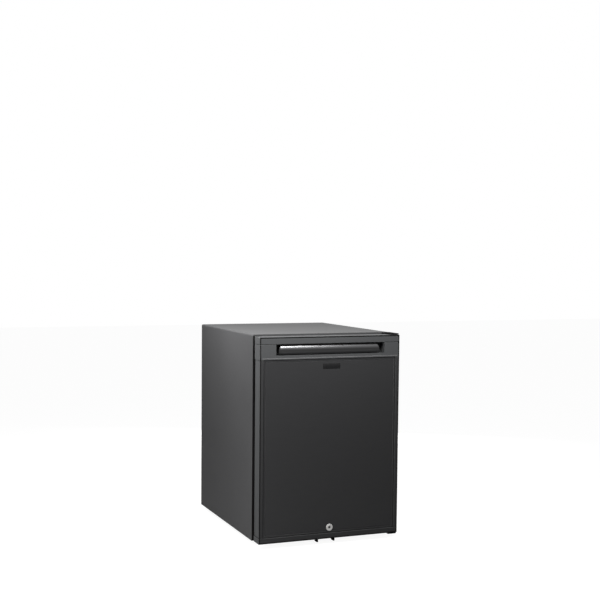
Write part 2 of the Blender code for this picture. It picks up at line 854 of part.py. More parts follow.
def make_feet():
    """Four rubber feet, each with a recess for the screw that holds it."""
    top = FOOT_HEIGHT - FIT
    profile = [
        (0, top),
        (FOOT_RADIUS, top),
        (FOOT_RADIUS - FOOT_TAPER, FOOT_BEVEL),
        (FOOT_RADIUS - FOOT_TAPER - FOOT_BEVEL, 0),
        (FOOT_RECESS, 0),
        (FOOT_RECESS, top / 2),
        (0, top / 2),
    ]
    for row, y in (("front", CABINET_FRONT + FOOT_FROM_ENDS), ("rear", BACK - FOOT_FROM_ENDS)):
        for hand, side in (("left", -1), ("right", 1)):
            place = (side * (SIDE - FOOT_INSET), y, 0)
            turned(f"foot_{row}_{hand}", profile, place, "Z", RUBBER)


# Hinges


def make_hinges():
    """An angle bracket above and below the door, each with a riveted pin."""
    x = (SIDE - LEAF_WIDTH, SIDE)
    rear = CABINET_FRONT - FIT
    front = FRONT + LEAF_FRONT
    upper = folded(
        "hinge_bracket_top",
        [(front, HEIGHT - LEAF), (rear - LEAF, HEIGHT - LEAF), (rear - LEAF, HEIGHT - TOP_LEG)],
        x,
        "X",
        -LEAF,
        BLACK_STEEL,
    )
    lower = folded(
        "hinge_bracket_bottom",
        [(front, BASE + LEAF), (rear - LEAF, BASE + LEAF), (rear - LEAF, BASE + BOTTOM_LEG)],
        x,
        "X",
        LEAF,
        BLACK_STEEL,
    )
    for bracket, name, z in (
        (upper, "top", HEIGHT - 2 * LEAF),
        (lower, "bottom", BASE - LEAF),
    ):
        hole = rod(
            f"pin_hole_{name}", (HINGE_X, HINGE_Y, z), "Z", PIN_SPIGOT + FIT, 3 * LEAF
        )
        cut(bracket, hole)
    pin = [
        (0, LEAF - FIT),
        (PIN_SPIGOT, LEAF - FIT),
        (PIN_SPIGOT, -FIT),
        (PIN_RADIUS, -FIT),
        (PIN_RADIUS, -PIN_REACH + PIN_SPIGOT / 2),
        (PIN_RADIUS / 2, -PIN_REACH),
        (0, -PIN_REACH),
    ]
    turned("hinge_pin_top", pin, (HINGE_X, HINGE_Y, HEIGHT - LEAF), "Z", STEEL)
    upward = [(radius, -along) for radius, along in reversed(pin)]
    turned("hinge_pin_bottom", upward, (HINGE_X, HINGE_Y, BASE + LEAF), "Z", STEEL)


def make_hinge_bush(name, low, high):
    """Plastic sleeve pressed into a door cap, in which the pin turns."""
    inner = PIN_RADIUS + PIN_PLAY
    outer = inner + BUSH_WALL
    profile = [(outer, high), (outer, low), (inner, low), (inner, high)]
    return turned(name, profile, (HINGE_X, HINGE_Y, 0), "Z", BLACK, closed=True)


def make_lock_strike():
    """Plate under the front edge, with an upright tongue that the cam turns down behind."""
    half = STRIKE_WIDTH / 2
    top = BASE - FIT
    plate = box(
        "lock_strike",
        (-half, half),
        (FRONT + STRIKE_FRONT, FRONT + STRIKE_BACK),
        (top - STRIKE, top),
        BLACK_STEEL,
    )
    tongue_front = DOOR_BACK + STRIKE_GAP
    spans = [
        (
            (-STRIKE_TONGUE / 2, STRIKE_TONGUE / 2),
            (tongue_front, tongue_front + STRIKE),
            (top - STRIKE / 2, BASE + STRIKE_TONGUE_TOP),
        )
    ]
    for x in both_sides(half - STRIKE_TAB, half):
        spans.append(
            (
                x,
                (FRONT + STRIKE_FRONT, FRONT + STRIKE_FRONT + STRIKE_TAB_LENGTH),
                (top - STRIKE - STRIKE_TAB_DROP, top - STRIKE / 2),
            )
        )
    return join(plate, boxes("strike_folds", spans))


# Door


def liner_rebate(name):
    """Cutter for the back of the door's frame, where the inner panel is let in."""
    side = PANEL_SIDE
    return box(
        name,
        (-side, side),
        (LINER_FRONT - FIT, DOOR_BACK + SEAL_DEPTH),
        (DOOR_LOW + LINER_MARGIN - FIT, DOOR_TOP - LINER_MARGIN + FIT),
    )


def make_door_panel():
    panel = box(
        "door_panel",
        (-PANEL_SIDE + FIT, PANEL_SIDE - FIT),
        (FRONT + PANEL_INSET, FRONT + PANEL_INSET + PANEL),
        (PANEL_LOW + FIT, BAND_LOW - FIT),
        PANEL_GREY,
    )
    return cut(panel, lock_hole("panel_lock_hole", FRONT - SHEET))


def lock_hole(name, y):
    return rod(name, (0, y, LOCK_Z), "Y", LOCK_BARREL + FIT, DOOR_DEPTH + SEAL_DEPTH)


def make_side_profiles():
    """Channels that frame the door's two long sides."""
    pieces = []
    spans = both_sides(PANEL_SIDE, SIDE)
    for hand, (low, high) in zip(("right", "left"), spans):
        name = f"side_profile_{hand}"
        profile = box(
            name,
            (low, high),
            (FRONT, DOOR_BACK),
            (PANEL_LOW + FIT, BAND_LOW - FIT),
            DARK_PLASTIC,
            CAP_ROUND / 2,
            None,
            2,
        )
        wall = PROFILE_WALL
        inner = (low - wall, high - wall) if hand == "right" else (low + wall, high + wall)
        channel = box(
            name + "_channel",
            inner,
            (FRONT + PANEL_INSET, DOOR_BACK - wall),
            (PANEL_LOW - wall, BAND_LOW + wall),
        )
        pieces.append(cut(profile, channel))
    return pieces


def make_top_cap():
    cap = box(
        "door_top_cap",
        (-DOOR_SIDE, DOOR_SIDE),
        (FRONT, DOOR_BACK),
        (BAND_TOP + FIT, DOOR_TOP),
        DARK_PLASTIC,
        CAP_ROUND,
    )
    seat = PIN_RADIUS + PIN_PLAY + BUSH_WALL + FIT
    bore = rod(
        "top_cap_bore",
        (HINGE_X, HINGE_Y, BAND_TOP + BUSH_WALL),
        "Z",
        seat,
        TOP_CAP,
    )
    cut(cap, liner_rebate("top_cap_rebate"), bore)
    bush = make_hinge_bush(
        "hinge_bush_top", BAND_TOP + BUSH_WALL + FIT, DOOR_TOP - FIT
    )
    return [cap, bush]


def make_bottom_cap():
    cap = box(
        "door_bottom_cap",
        (-DOOR_SIDE, DOOR_SIDE),
        (FRONT, DOOR_BACK),
        (DOOR_LOW, PANEL_LOW),
        DARK_PLASTIC,
        CAP_ROUND,
    )
    seat = PIN_RADIUS + PIN_PLAY + BUSH_WALL + FIT
    bore = rod(
        "bottom_cap_bore", (HINGE_X, HINGE_Y, DOOR_LOW - LEAF), "Z", seat, BOTTOM_CAP + 2 * LEAF
    )
    cut(cap, liner_rebate("bottom_cap_rebate"), bore)
    bush = make_hinge_bush("hinge_bush_bottom", DOOR_LOW + FIT, PANEL_LOW - FIT)
    return [cap, bush]


def make_handle_trim():
    """The band that carries the handle: a front wall, two ends and the finger recess."""
    trim = box(
        "handle_trim",
        (-DOOR_SIDE, DOOR_SIDE),
        (FRONT, DOOR_BACK),
        (BAND_LOW, BAND_TOP),
        DARK_PLASTIC,
        CAP_ROUND / 2,
        None,
        2,
    )
    behind = box(
        "trim_inside",
        (-SIDE + PROFILE_WALL, SIDE - PROFILE_WALL),
        (FRONT + BAND_WALL, DOOR_BACK + SEAL_DEPTH),
        (BAND_LOW - SHEET, BAND_TOP + SHEET),
    )
    half = RECESS_SIDE
    tub = box(
        "trim_tub",
        (-half - RECESS_WALL, half + RECESS_WALL),
        (FRONT + BAND_WALL / 2, FRONT + RECESS_DEPTH + RECESS_WALL),
        (RECESS_FLOOR - RECESS_WALL, BAND_TOP - FIT),
    )
    recess = box(
        "trim_recess",
        (-half, half),
        (FRONT - BAND_WALL, FRONT + RECESS_DEPTH),
        (RECESS_FLOOR, BAND_TOP + SHEET),
    )
    return cut(join(cut(trim, behind), tub), recess)


def make_handle_bar():
    """Convex grip on two posts from the back of the recess."""
    front = FRONT + BAR_SETBACK
    rear = front + BAR_BULGE + BAR_THICK
    half = BAR_HEIGHT / 2
    radius = (half**2 + BAR_BULGE**2) / (2 * BAR_BULGE)
    sweep = math.asin(half / radius)
    middle = BAR_LOW + half
    points = [(rear, middle + half), (rear, middle - half)]
    steps = 10
    for step in range(steps + 1):
        angle = -sweep + 2 * sweep * step / steps
        points.append((front + radius * (1 - math.cos(angle)), middle + radius * math.sin(angle)))
    bar = outline("handle_bar", points, (-BAR_SIDE, BAR_SIDE), None)
    bar = as_mesh(bar, CHROME)
    post = BAR_SIDE - BAR_POST_INSET
    starts = [(side * post, rear - BAR_THICK / 2, middle) for side in (-1, 1)]
    reach = FRONT + RECESS_DEPTH - FIT - (rear - BAR_THICK / 2)
    join(bar, rods("bar_posts", starts, "Y", BAR_POST, reach))
    shade(bar)
    return bar


def make_door_foam():
    """Foam that fills the door's frame and the plug of its inner panel."""
    inside = SIDE - PROFILE_WALL - FIT
    front = FRONT + PANEL_INSET + PANEL + FIT
    foam = box(
        "door_foam",
        (-inside, inside),
        (front, LINER_FRONT - FIT),
        (PANEL_LOW + FIT, BAND_TOP - FIT),
        FOAM,
    )
    wall = LINER + FIT
    core = box(
        "door_foam_core",
        (-PLUG_SIDE + wall, PLUG_SIDE - wall),
        (front + PANEL, PLUG_FACE - wall),
        (PLUG_SPAN[0] + wall, PLUG_SPAN[1] - wall),
    )
    half = RECESS_SIDE + RECESS_WALL + FIT
    recess = box(
        "door_foam_recess",
        (-half, half),
        (FRONT, FRONT + RECESS_DEPTH + RECESS_WALL + FIT),
        (RECESS_FLOOR - RECESS_WALL - FIT, BAND_TOP + SHEET),
    )
    return cut(join(foam, core), recess, lock_hole("foam_lock_hole", FRONT - SHEET))


def make_door_liner():
    """Formed inner panel: a flat border for the seal, a hollow plug, and two dykes with rack lugs."""
    side = PANEL_SIDE - FIT
    liner = box(
        "door_liner",
        (-side, side),
        (LINER_FRONT, DOOR_BACK),
        (DOOR_LOW + LINER_MARGIN, DOOR_TOP - LINER_MARGIN),
        WHITE,
    )
    plug = box(
        "liner_plug",
        (-PLUG_SIDE, PLUG_SIDE),
        (LINER_FRONT + LINER / 2, PLUG_FACE),
        PLUG_SPAN,
        None,
        LINER,
        None,
        2,
    )
    spans = []
    dyke_span = (PLUG_SPAN[0] + DYKE_END, PLUG_SPAN[1] - DYKE_END)
    for x in both_sides(PLUG_SIDE - DYKE, PLUG_SIDE):
        spans.append((x, (PLUG_FACE - LINER / 2, PLUG_FACE + DYKE_REACH), dyke_span))
    dykes = boxes("liner_dykes", spans, None, 2 * LINER, "X", 3)
    lugs = []
    for up, _ in RACKS.values():
        z = CAVITY_LOW + up - FIT
        for x in both_sides(PLUG_SIDE - DYKE - LUG_REACH, PLUG_SIDE - DYKE / 2):
            y = PLUG_FACE + LINER
            lugs.append((x, (y, y + LUG_LENGTH), (z - LUG_HEIGHT, z)))
    hollow = box(
        "liner_hollow",
        (-PLUG_SIDE + LINER, PLUG_SIDE - LINER),
        (FRONT, PLUG_FACE - LINER),
        (PLUG_SPAN[0] + LINER, PLUG_SPAN[1] - LINER),
    )
    join(liner, plug, dykes, boxes("liner_lugs", lugs))
    return cut(liner, hollow, lock_hole("liner_lock_hole", FRONT))


def make_rack(name, up, height):
    """Open tray that drops between the dykes onto their lugs."""
    low = CAVITY_LOW + up
    y = (PLUG_FACE + FIT, PLUG_FACE + RACK_DEPTH)
    rack = box(name, (-RACK_SIDE, RACK_SIDE), y, (low, low + height), WHITE, RACK_ROUND, "Z")
    inside = box(
        name + "_inside",
        (-RACK_SIDE + RACK_WALL, RACK_SIDE - RACK_WALL),
        (y[0] + RACK_WALL, y[1] - RACK_WALL),
        (low + RACK_WALL, low + height + RACK_WALL),
        None,
        RACK_ROUND - RACK_WALL,
        "Z",
    )
    return cut(rack, inside)


def seal_ring(name, inset, y, material=None):
    """A rectangular ring, drawn in from the seal's outer and inner edges by inset."""
    side = SIDE - SEAL_SIDE - inset
    low = BASE + SEAL_LOW + inset
    high = HEIGHT - SEAL_TOP - inset
    width = SEAL_WIDTH - 2 * inset
    ring = box(name, (-side, side), y, (low, high), material)
    hole = box(
        name + "_hole",
        (-side + width, side - width),
        (FRONT, CAVITY_BACK),
        (low + width, high - width),
    )
    return cut(ring, hole)


def make_door_seal():
    """Magnetic seal: a foot on the door, a narrow bellows, and the magnet's head on the cabinet."""
    start = DOOR_BACK + FIT
    end = CABINET_FRONT - FIT
    head = end - SEAL_HEAD
    seal = seal_ring("door_seal", 0, (start, start + SEAL_BASE), RUBBER)
    bellows = seal_ring(
        "seal_bellows", SEAL_WAIST, (start + SEAL_BASE / 2, head + SEAL_HEAD / 2)
    )
    magnet = seal_ring("seal_magnet", SEAL_WAIST / 3, (head, end))
    return join(seal, bellows, magnet)


def make_lock():
    """Cam lock: a ringed barrel through the door, and a plug that turns the cam behind it."""
    start = FRONT + FIT
    nut = NUT_BACK - LOCK_NUT_DEPTH
    inner = LOCK_PLUG + FIT
    profile = [
        (LOCK_BARREL, NUT_BACK),
        (LOCK_NUT, NUT_BACK),
        (LOCK_NUT, nut),
        (LOCK_BARREL, nut),
        (LOCK_BARREL, start + LOCK_RING_DEPTH),
        (LOCK_RING, start + LOCK_RING_DEPTH),
        (LOCK_RING, start + LOCK_RING_DEPTH / 2),
        (LOCK_RING - LOCK_RING_DEPTH / 2, start),
        (inner, start),
        (inner, NUT_BACK),
    ]
    place = (0, 0, LOCK_Z)
    barrel = turned("lock_barrel", profile, place, "Y", CHROME, closed=True)
    plug = rod(
        "lock_plug", (0, start + FIT, LOCK_Z), "Y", LOCK_PLUG, CAM_FRONT - FIT - start - FIT, CHROME
    )
    keyway = box(
        "lock_keyway",
        (-KEYWAY / 2, KEYWAY / 2),
        (FRONT - SHEET, FRONT + DOOR_DEPTH / 2),
        (LOCK_Z - KEYWAY_LENGTH / 2, LOCK_Z + KEYWAY_LENGTH / 2),
    )
    cut(plug, keyway)
    half = CAM_WIDTH / 2
    cam = box(
        "lock_cam",
        (-half, CAM_LENGTH),
        (CAM_FRONT, CAM_FRONT + CAM),
        (LOCK_Z - half, LOCK_Z + half),
        STEEL,
        CAM_ROUND,
        "Y",
        4,
    )
    hang_place = (0, CAM_FRONT, LOCK_Z)
    return barrel, hang("lock_axis", hang_place, [plug, cam])


def make_door():
    pieces = [make_door_panel(), *make_side_profiles()]
    pieces += make_top_cap()
    pieces += make_bottom_cap()
    pieces += [make_handle_trim(), make_handle_bar(), make_door_foam(), make_door_liner()]
    pieces += [make_rack(name, up, height) for name, (up, height) in RACKS.items()]
    pieces.append(make_door_seal())
    pieces += make_lock()
    hang("door_axis", (HINGE_X, HINGE_Y, DOOR_LOW), pieces)


# Cooling unit


def make_straps():
    """Two steel straps across the back, which hold the cooling unit."""
    for name, up in STRAP_LEVELS.items():
        z = BASE + up
        fold = [
            (-INSIDE, STRAP_FRONT + STRAP - STRAP_FOOT),
            (-INSIDE, STRAP_FRONT + STRAP),
            (INSIDE, STRAP_FRONT + STRAP),
            (INSIDE, STRAP_FRONT + STRAP - STRAP_FOOT),
        ]
        span = (z - STRAP_HEIGHT / 2, z + STRAP_HEIGHT / 2)
        folded(name, fold, span, "Z", STRAP, STEEL)


def make_boiler():
    low = BASE + BOILER_LOW
    return box(
        "boiler_casing",
        (BOILER_LEFT, BOILER_LEFT + BOILER_SIDE),
        (BOILER_BACK - BOILER_SIDE, BOILER_BACK),
        (low, low + BOILER_HEIGHT),
        STEEL,
        BOILER_ROUND,
        "Z",
    )


def make_condenser():
    """Finned tube that falls a little from the boiler's side to the evaporator's."""
    z = HEIGHT - CONDENSER_DROP
    left = CONDENSER_RIGHT - CONDENSER_LENGTH
    start = (left, BOILER_Y, z)
    pipe = rod("condenser", start, "X", TUBE, CONDENSER_LENGTH, BLACK_STEEL, CONDENSER_SIDES)
    pitch = (CONDENSER_LENGTH - 4 * TUBE) / (COOLING_FINS - 1)
    half = COOLING_FIN_SIDE / 2
    spans = []
    for index in range(COOLING_FINS):
        x = left + 2 * TUBE + index * pitch
        spans.append(
            (
                (x - COOLING_FIN / 2, x + COOLING_FIN / 2),
                (BOILER_Y - half, BOILER_Y + half),
                (z - half, z + half),
            )
        )
    join(pipe, boxes("condenser_fins", spans))
    pipe.rotation_euler = (0, -math.asin(CONDENSER_FALL / CONDENSER_LENGTH), 0)
    return pipe


def make_vessel():
    """Absorber vessel: a drum with domed ends."""
    long = VESSEL_LENGTH
    profile = []
    steps = 5
    for step in range(steps + 1):
        angle = math.pi / 2 * step / steps
        profile.append(
            (VESSEL_RADIUS * math.sin(angle), long - VESSEL_DOME * (1 - math.cos(angle)))
        )
    profile += [(radius, long - along) for radius, along in reversed(profile)]
    place = (VESSEL_LEFT, VESSEL_Y, BASE + VESSEL_UP)
    return turned("absorber_vessel", profile, place, "X", BLACK_STEEL)


def make_coil():
    """Absorber coil: a flat serpentine that climbs from the drum to the gas pipe."""
    right = PIPE_SPREAD
    top = BASE + VESSEL_UP + VESSEL_RADIUS + FIT
    start_x = VESSEL_LEFT + VESSEL_LENGTH * COIL_START_SHARE
    low = BASE + COIL_LOW
    route = [(start_x, VESSEL_Y, top), (start_x, VESSEL_Y, low - BEND), (start_x, COIL_Y, low)]
    for loop in range(COIL_LOOPS):
        z = low + 2 * loop * COIL_PITCH
        route.append((COIL_LEFT, COIL_Y, z))
        route.append((COIL_LEFT, COIL_Y, z + COIL_PITCH))
        route.append((right, COIL_Y, z + COIL_PITCH))
        if loop < COIL_LOOPS - 1:
            route.append((right, COIL_Y, z + 2 * COIL_PITCH))
    route.append((right, COIL_Y, COIL_END))
    return tube("absorber_coil", route, TUBE, BLACK_STEEL, COIL_BEND)


def make_pipes():
    """Pipes between the boiler, condenser, evaporator, coil and drum."""
    bore = CLAMP_FRONT + FIN_PLATE + FIT
    condenser_z = HEIGHT - CONDENSER_DROP
    boiler_top = BASE + BOILER_LOW + BOILER_HEIGHT
    left = CONDENSER_RIGHT - CONDENSER_LENGTH
    tube(
        "gas_pipe",
        [(PIPE_SPREAD, bore, PIPE_Z), (PIPE_SPREAD, COIL_Y, PIPE_Z), (PIPE_SPREAD, COIL_Y, COIL_END + FIT)],
        TUBE,
        BLACK_STEEL,
    )
    rise = condenser_z + CONDENSER_FALL
    tube(
        "rectifier_pipe",
        [
            (BOILER_X, BOILER_Y, boiler_top + FIT),
            (BOILER_X, BOILER_Y, rise),
            (CONDENSER_RIGHT + FIT, BOILER_Y, rise),
        ],
        TUBE,
        BLACK_STEEL,
    )
    outside = left - 2 * BEND - TUBE
    tube(
        "liquid_pipe",
        [
            (left - FIT, BOILER_Y, condenser_z),
            (outside, BOILER_Y, condenser_z),
            (outside, BOILER_Y, PIPE_Z),
            (-PIPE_SPREAD, BOILER_Y, PIPE_Z),
            (-PIPE_SPREAD, bore, PIPE_Z),
        ],
        SMALL_TUBE,
        BLACK_STEEL,
        SMALL_TUBE * 3,
    )
    vessel_z = BASE + VESSEL_UP
    tube(
        "solution_pipe",
        [
            (VESSEL_LEFT + VESSEL_LENGTH + FIT, VESSEL_Y, vessel_z),
            (BOILER_X, VESSEL_Y, vessel_z),
            (BOILER_X, VESSEL_Y, BASE + BOILER_LOW - FIT),
        ],
        SMALL_TUBE,
        BLACK_STEEL,
        SMALL_TUBE * 3,
    )


def make_electrics():
    """Terminal box on the rear panel, with the mains inlet let into its back."""
    x = (BOX_LEFT, BOX_LEFT + BOX_WIDTH)
    z = (BASE + BOX_UP, BASE + BOX_UP + BOX_HEIGHT)
    centre_x, centre_z = sum(x) / 2, sum(z) / 2
    case = box("electrical_box", x, (PANEL_BACK + FIT, BOX_BACK), z, BLACK, 3 * MM, None, 2)
    body_x = SOCKET_WIDTH / 2 + INLET_WALL
    body_z = SOCKET_HEIGHT / 2 + INLET_WALL
    hole = box(
        "inlet_hole",
        (centre_x - body_x - FIT, centre_x + body_x + FIT),
        (BOX_BACK - INLET_BODY - FIT, BOX_BACK + SHEET),
        (centre_z - body_z - FIT, centre_z + body_z + FIT),
    )
    cut(case, hole)
    flange = BOX_BACK + FIT
    inlet = box(
        "power_inlet",
        (centre_x - INLET_WIDTH / 2, centre_x + INLET_WIDTH / 2),
        (flange, flange + INLET_FLANGE),
        (centre_z - INLET_HEIGHT / 2, centre_z + INLET_HEIGHT / 2),
        BLACK,
        2 * MM,
        "Y",
        2,
    )
    body = box(
        "inlet_body",
        (centre_x - body_x, centre_x + body_x),
        (flange - INLET_BODY, flange + INLET_FLANGE / 2),
        (centre_z - body_z, centre_z + body_z),
    )
    floor = flange + INLET_FLANGE - SOCKET_DEPTH
    socket = box(
        "inlet_socket",
        (centre_x - SOCKET_WIDTH / 2, centre_x + SOCKET_WIDTH / 2),
        (floor, flange + 2 * INLET_FLANGE),
        (centre_z - SOCKET_HEIGHT / 2, centre_z + SOCKET_HEIGHT / 2),
    )
    spans = []
    for step in (-1, 0, 1):
        place = centre_x + step * BLADE_SPREAD
        lift = centre_z + (BLADE[2] / 2 if step == 0 else 0)
        spans.append(
            (
                (place - BLADE[0] / 2, place + BLADE[0] / 2),
                (floor - INLET_WALL, floor + BLADE[1]),
                (lift - BLADE[2] / 2, lift + BLADE[2] / 2),
            )
        )
    join(cut(join(inlet, body), socket), boxes("inlet_blades", spans))


make_outer_wrap()
make_base_panel()
make_rear_panel()
make_foam()
make_inner_liner()
for shelf_name, shelf_level in SHELF_LEVELS.items():
    make_shelf(shelf_name, shelf_level)
make_evaporator_fins()
make_controls()
make_feet()
make_hinges()
make_lock_strike()
make_door()
make_straps()
make_boiler()
make_condenser()
make_vessel()
make_coil()
make_pipes()
make_electrics()
bpy.context.view_layer.update()
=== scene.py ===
import math

import bmesh
import bpy
from mathutils import Matrix, Vector


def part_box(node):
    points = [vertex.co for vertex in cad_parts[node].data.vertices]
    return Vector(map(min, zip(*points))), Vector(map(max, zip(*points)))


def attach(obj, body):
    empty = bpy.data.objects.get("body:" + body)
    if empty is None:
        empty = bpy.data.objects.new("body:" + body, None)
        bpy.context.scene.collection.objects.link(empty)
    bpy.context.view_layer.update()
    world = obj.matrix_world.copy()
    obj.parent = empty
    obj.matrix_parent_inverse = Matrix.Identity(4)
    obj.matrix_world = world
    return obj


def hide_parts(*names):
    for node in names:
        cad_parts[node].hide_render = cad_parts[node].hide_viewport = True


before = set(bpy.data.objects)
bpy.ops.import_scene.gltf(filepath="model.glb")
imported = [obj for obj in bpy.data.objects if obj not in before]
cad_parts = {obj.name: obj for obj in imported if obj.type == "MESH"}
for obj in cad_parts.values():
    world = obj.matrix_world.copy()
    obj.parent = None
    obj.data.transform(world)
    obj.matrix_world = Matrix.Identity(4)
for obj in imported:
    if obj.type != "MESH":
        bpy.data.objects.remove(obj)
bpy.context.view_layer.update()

mm = 0.001


# Camera: a long lens, three metres away and a little above the top, turned to show the left side.

lens = bpy.data.cameras.new("camera")
lens.sensor_width = 36
lens.lens = 64.62
lens.shift_x = 0.0375
lens.shift_y = 0.0419
yaw = math.radians(21.147)
pitch = math.radians(-3.5)
roll = math.radians(0.456)
ahead = Vector((math.sin(yaw) * math.cos(pitch), math.cos(yaw) * math.cos(pitch), math.sin(pitch)))
level = Vector((math.cos(yaw), -math.sin(yaw), 0))
upward = level.cross(ahead)
right = math.cos(roll) * level + math.sin(roll) * upward
top = math.cos(roll) * upward - math.sin(roll) * level
camera = bpy.data.objects.new("camera", lens)
camera.matrix_world = Matrix((right, top, -ahead)).transposed().to_4x4()
camera.location = (-1.1544, -2.8445, 0.7572)
bpy.context.scene.collection.objects.link(camera)
bpy.context.scene.camera = camera
bpy.context.scene.view_settings.view_transform = "Standard"


# Studio: a white paper floor and white walls, which show white to the camera. A softbox and a strip
# for the grip hang over the door and one softbox stands at the left; a small one rakes the top of
# the side, and two more light the top face and the back. All of them stay at a plain level.


def linear(colour):
    """An sRGB hex colour as linear red, green, blue and alpha."""
    parts = [int(colour[place : place + 2], 16) / 255 for place in (1, 3, 5)]
    return (*(p / 12.92 if p <= 0.04045 else ((p + 0.055) / 1.055) ** 2.4 for p in parts), 1.0)


def add_node(tree, kind, inputs=None, **settings):
    """A node with its settings. Each input takes a value, or an output to link from.

    Inputs 1 to 4 of a MapRange are the ends of its range before and after, and inputs 6 and 7 of
    a Mix are its two colours.
    """
    made = tree.nodes.new("ShaderNode" + kind)
    for name, value in settings.items():
        setattr(made, name, value)
    for name, value in (inputs or {}).items():
        if isinstance(value, bpy.types.NodeSocket):
            tree.links.new(value, made.inputs[name])
        else:
            made.inputs[name].default_value = value
    return made


def new_tree(owner):
    owner.use_nodes = True
    owner.node_tree.nodes.clear()
    return owner.node_tree


def ray_kinds(tree):
    """1 for a mirrored ray, and 1 for a ray of the camera, straight or through a clear piece."""
    rays = add_node(tree, "LightPath")
    seen = add_node(
        tree,
        "Math",
        {0: rays.outputs["Is Camera Ray"], 1: rays.outputs["Is Transmission Ray"]},
        operation="MAXIMUM",
    )
    return rays.outputs["Is Glossy Ray"], seen.outputs[0]


room = bpy.data.worlds.new("studio")
bpy.context.scene.world = room
tree = new_tree(room)
glossy, seen = ray_kinds(tree)
# A mirrored ray finds walls that get brighter towards the rear and higher up.
direction = add_node(tree, "TexCoord")
parts = add_node(tree, "SeparateXYZ", {0: direction.outputs["Generated"]})
low_wall = add_node(
    tree, "MapRange", {0: parts.outputs["Y"], 1: -1.0, 2: 0.8, 3: 0.22, 4: 0.5}
)
high_wall = add_node(
    tree, "MapRange", {0: parts.outputs["Z"], 1: 0.0, 2: 0.5, 3: 0.0, 4: 0.35}
)
walls = add_node(
    tree, "Math", {0: low_wall.outputs[0], 1: high_wall.outputs[0]}, operation="ADD"
)
ambient = 0.17
more = add_node(tree, "Math", {0: walls.outputs[0], 1: ambient}, operation="SUBTRACT")
gloss = add_node(
    tree, "Math", {0: more.outputs[0], 1: glossy, 2: ambient}, operation="MULTIPLY_ADD"
)
strength = add_node(tree, "Math", {0: gloss.outputs[0], 1: seen}, operation="MAXIMUM")
sky = add_node(
    tree, "Background", {"Color": linear("#ffffff"), "Strength": strength.outputs[0]}
)
add_node(tree, "OutputWorld", {"Surface": sky.outputs[0]})

paper = bpy.data.materials.new("white_paper")
tree = new_tree(paper)
glossy, seen = ray_kinds(tree)
mirrored = 0.1
whiteness = 0.93
dimmer = add_node(tree, "Math", {0: glossy, 1: mirrored}, operation="MULTIPLY")
shown = add_node(tree, "Math", {0: seen, 1: dimmer.outputs[0]}, operation="MAXIMUM")
glow = add_node(tree, "Math", {0: shown.outputs[0], 1: whiteness}, operation="MULTIPLY")
shining = add_node(tree, "Emission", {"Strength": glow.outputs[0]})
matt = add_node(tree, "BsdfDiffuse", {"Color": linear("#8c8c8c")})
both = add_node(tree, "AddShader", {0: shining.outputs[0], 1: matt.outputs[0]})
add_node(tree, "OutputMaterial", {"Surface": both.outputs[0]})

# The floor reaches nine metres each way.
far = 9
corners = [(-far, -far, 0), (far, -far, 0), (far, far, 0), (-far, far, 0)]
floor_mesh = bpy.data.meshes.new("studio_floor")
floor_mesh.from_pydata(corners, [], [(0, 1, 2, 3)])
floor_mesh.materials.append(paper)
floor = bpy.data.objects.new("studio_floor", floor_mesh)
bpy.context.scene.collection.objects.link(floor)

for name, place, target, width, height, power in (
    ("softbox_over_door", (-0.11, -0.64, 0.97), (0, -0.25, 0.5), 0.4, 0.3, 4.5),
    ("softbox_over_grip", (0.08, -0.64, 0.97), (0, -0.25, 0.5), 0.12, 0.3, 2.0),
    ("softbox_left", (-0.58, -0.43, 0.27), (-0.2, -0.17, 0.25), 0.3, 0.7, 2.25),
    ("softbox_over_side", (-0.42, -0.05, 0.78), (-0.2, -0.02, 0.5), 0.3, 0.12, 3.0),
    ("softbox_over_top", (0.35, 0.5, 1.3), (0.05, 0.05, 0.55), 0.5, 0.5, 1.8),
    ("softbox_behind", (0.7, 1.5, 0.27), (0.05, 0.25, 0.27), 0.9, 0.5, 14),
):
    lamp = bpy.data.lights.new(name, "AREA")
    lamp.shape = "RECTANGLE"
    lamp.size = width
    lamp.size_y = height
    lamp.energy = power
    stand = bpy.data.objects.new(name, lamp)
    stand.location = place
    aim = Vector(target) - Vector(place)
    stand.rotation_euler = aim.to_track_quat("-Z", "Y").to_euler()
    stand.visible_camera = False
    bpy.context.scene.collection.objects.link(stand)


# Outer wrap and base: one cold-rolled steel sheet folded over the top and down both sides, and a
# second one that closes the underside. Both are powder coated, which leaves a fine orange peel
# that softens every reflection.


def dress(node, material, edge=0.0):
    """Gives a CAD node its finish, and rounds its sharp edges by that much."""
    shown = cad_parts[node]
    for place in shown.material_slots:
        place.material = material
    if edge:
        shown.modifiers.new("weld", "WELD").merge_threshold = 0.01 * mm
        flat = shown.modifiers.new("flat", "DECIMATE")
        flat.decimate_type = "DISSOLVE"
        flat.angle_limit = math.radians(0.5)
        rim = shown.modifiers.new("rim", "BEVEL")
        rim.width = edge
        rim.segments = 2
        rim.angle_limit = math.radians(38)
        rim.use_clamp_overlap = False
        shown.modifiers.new("even", "WEIGHTED_NORMAL")


def new_finish(name):
    """A new material, its empty node tree, and the object's coordinates for its patterns."""
    material = bpy.data.materials.new(name)
    tree = new_tree(material)
    return material, tree, add_node(tree, "TexCoord").outputs["Object"]


powder_coat, tree, place = new_finish("powder_coated_steel")
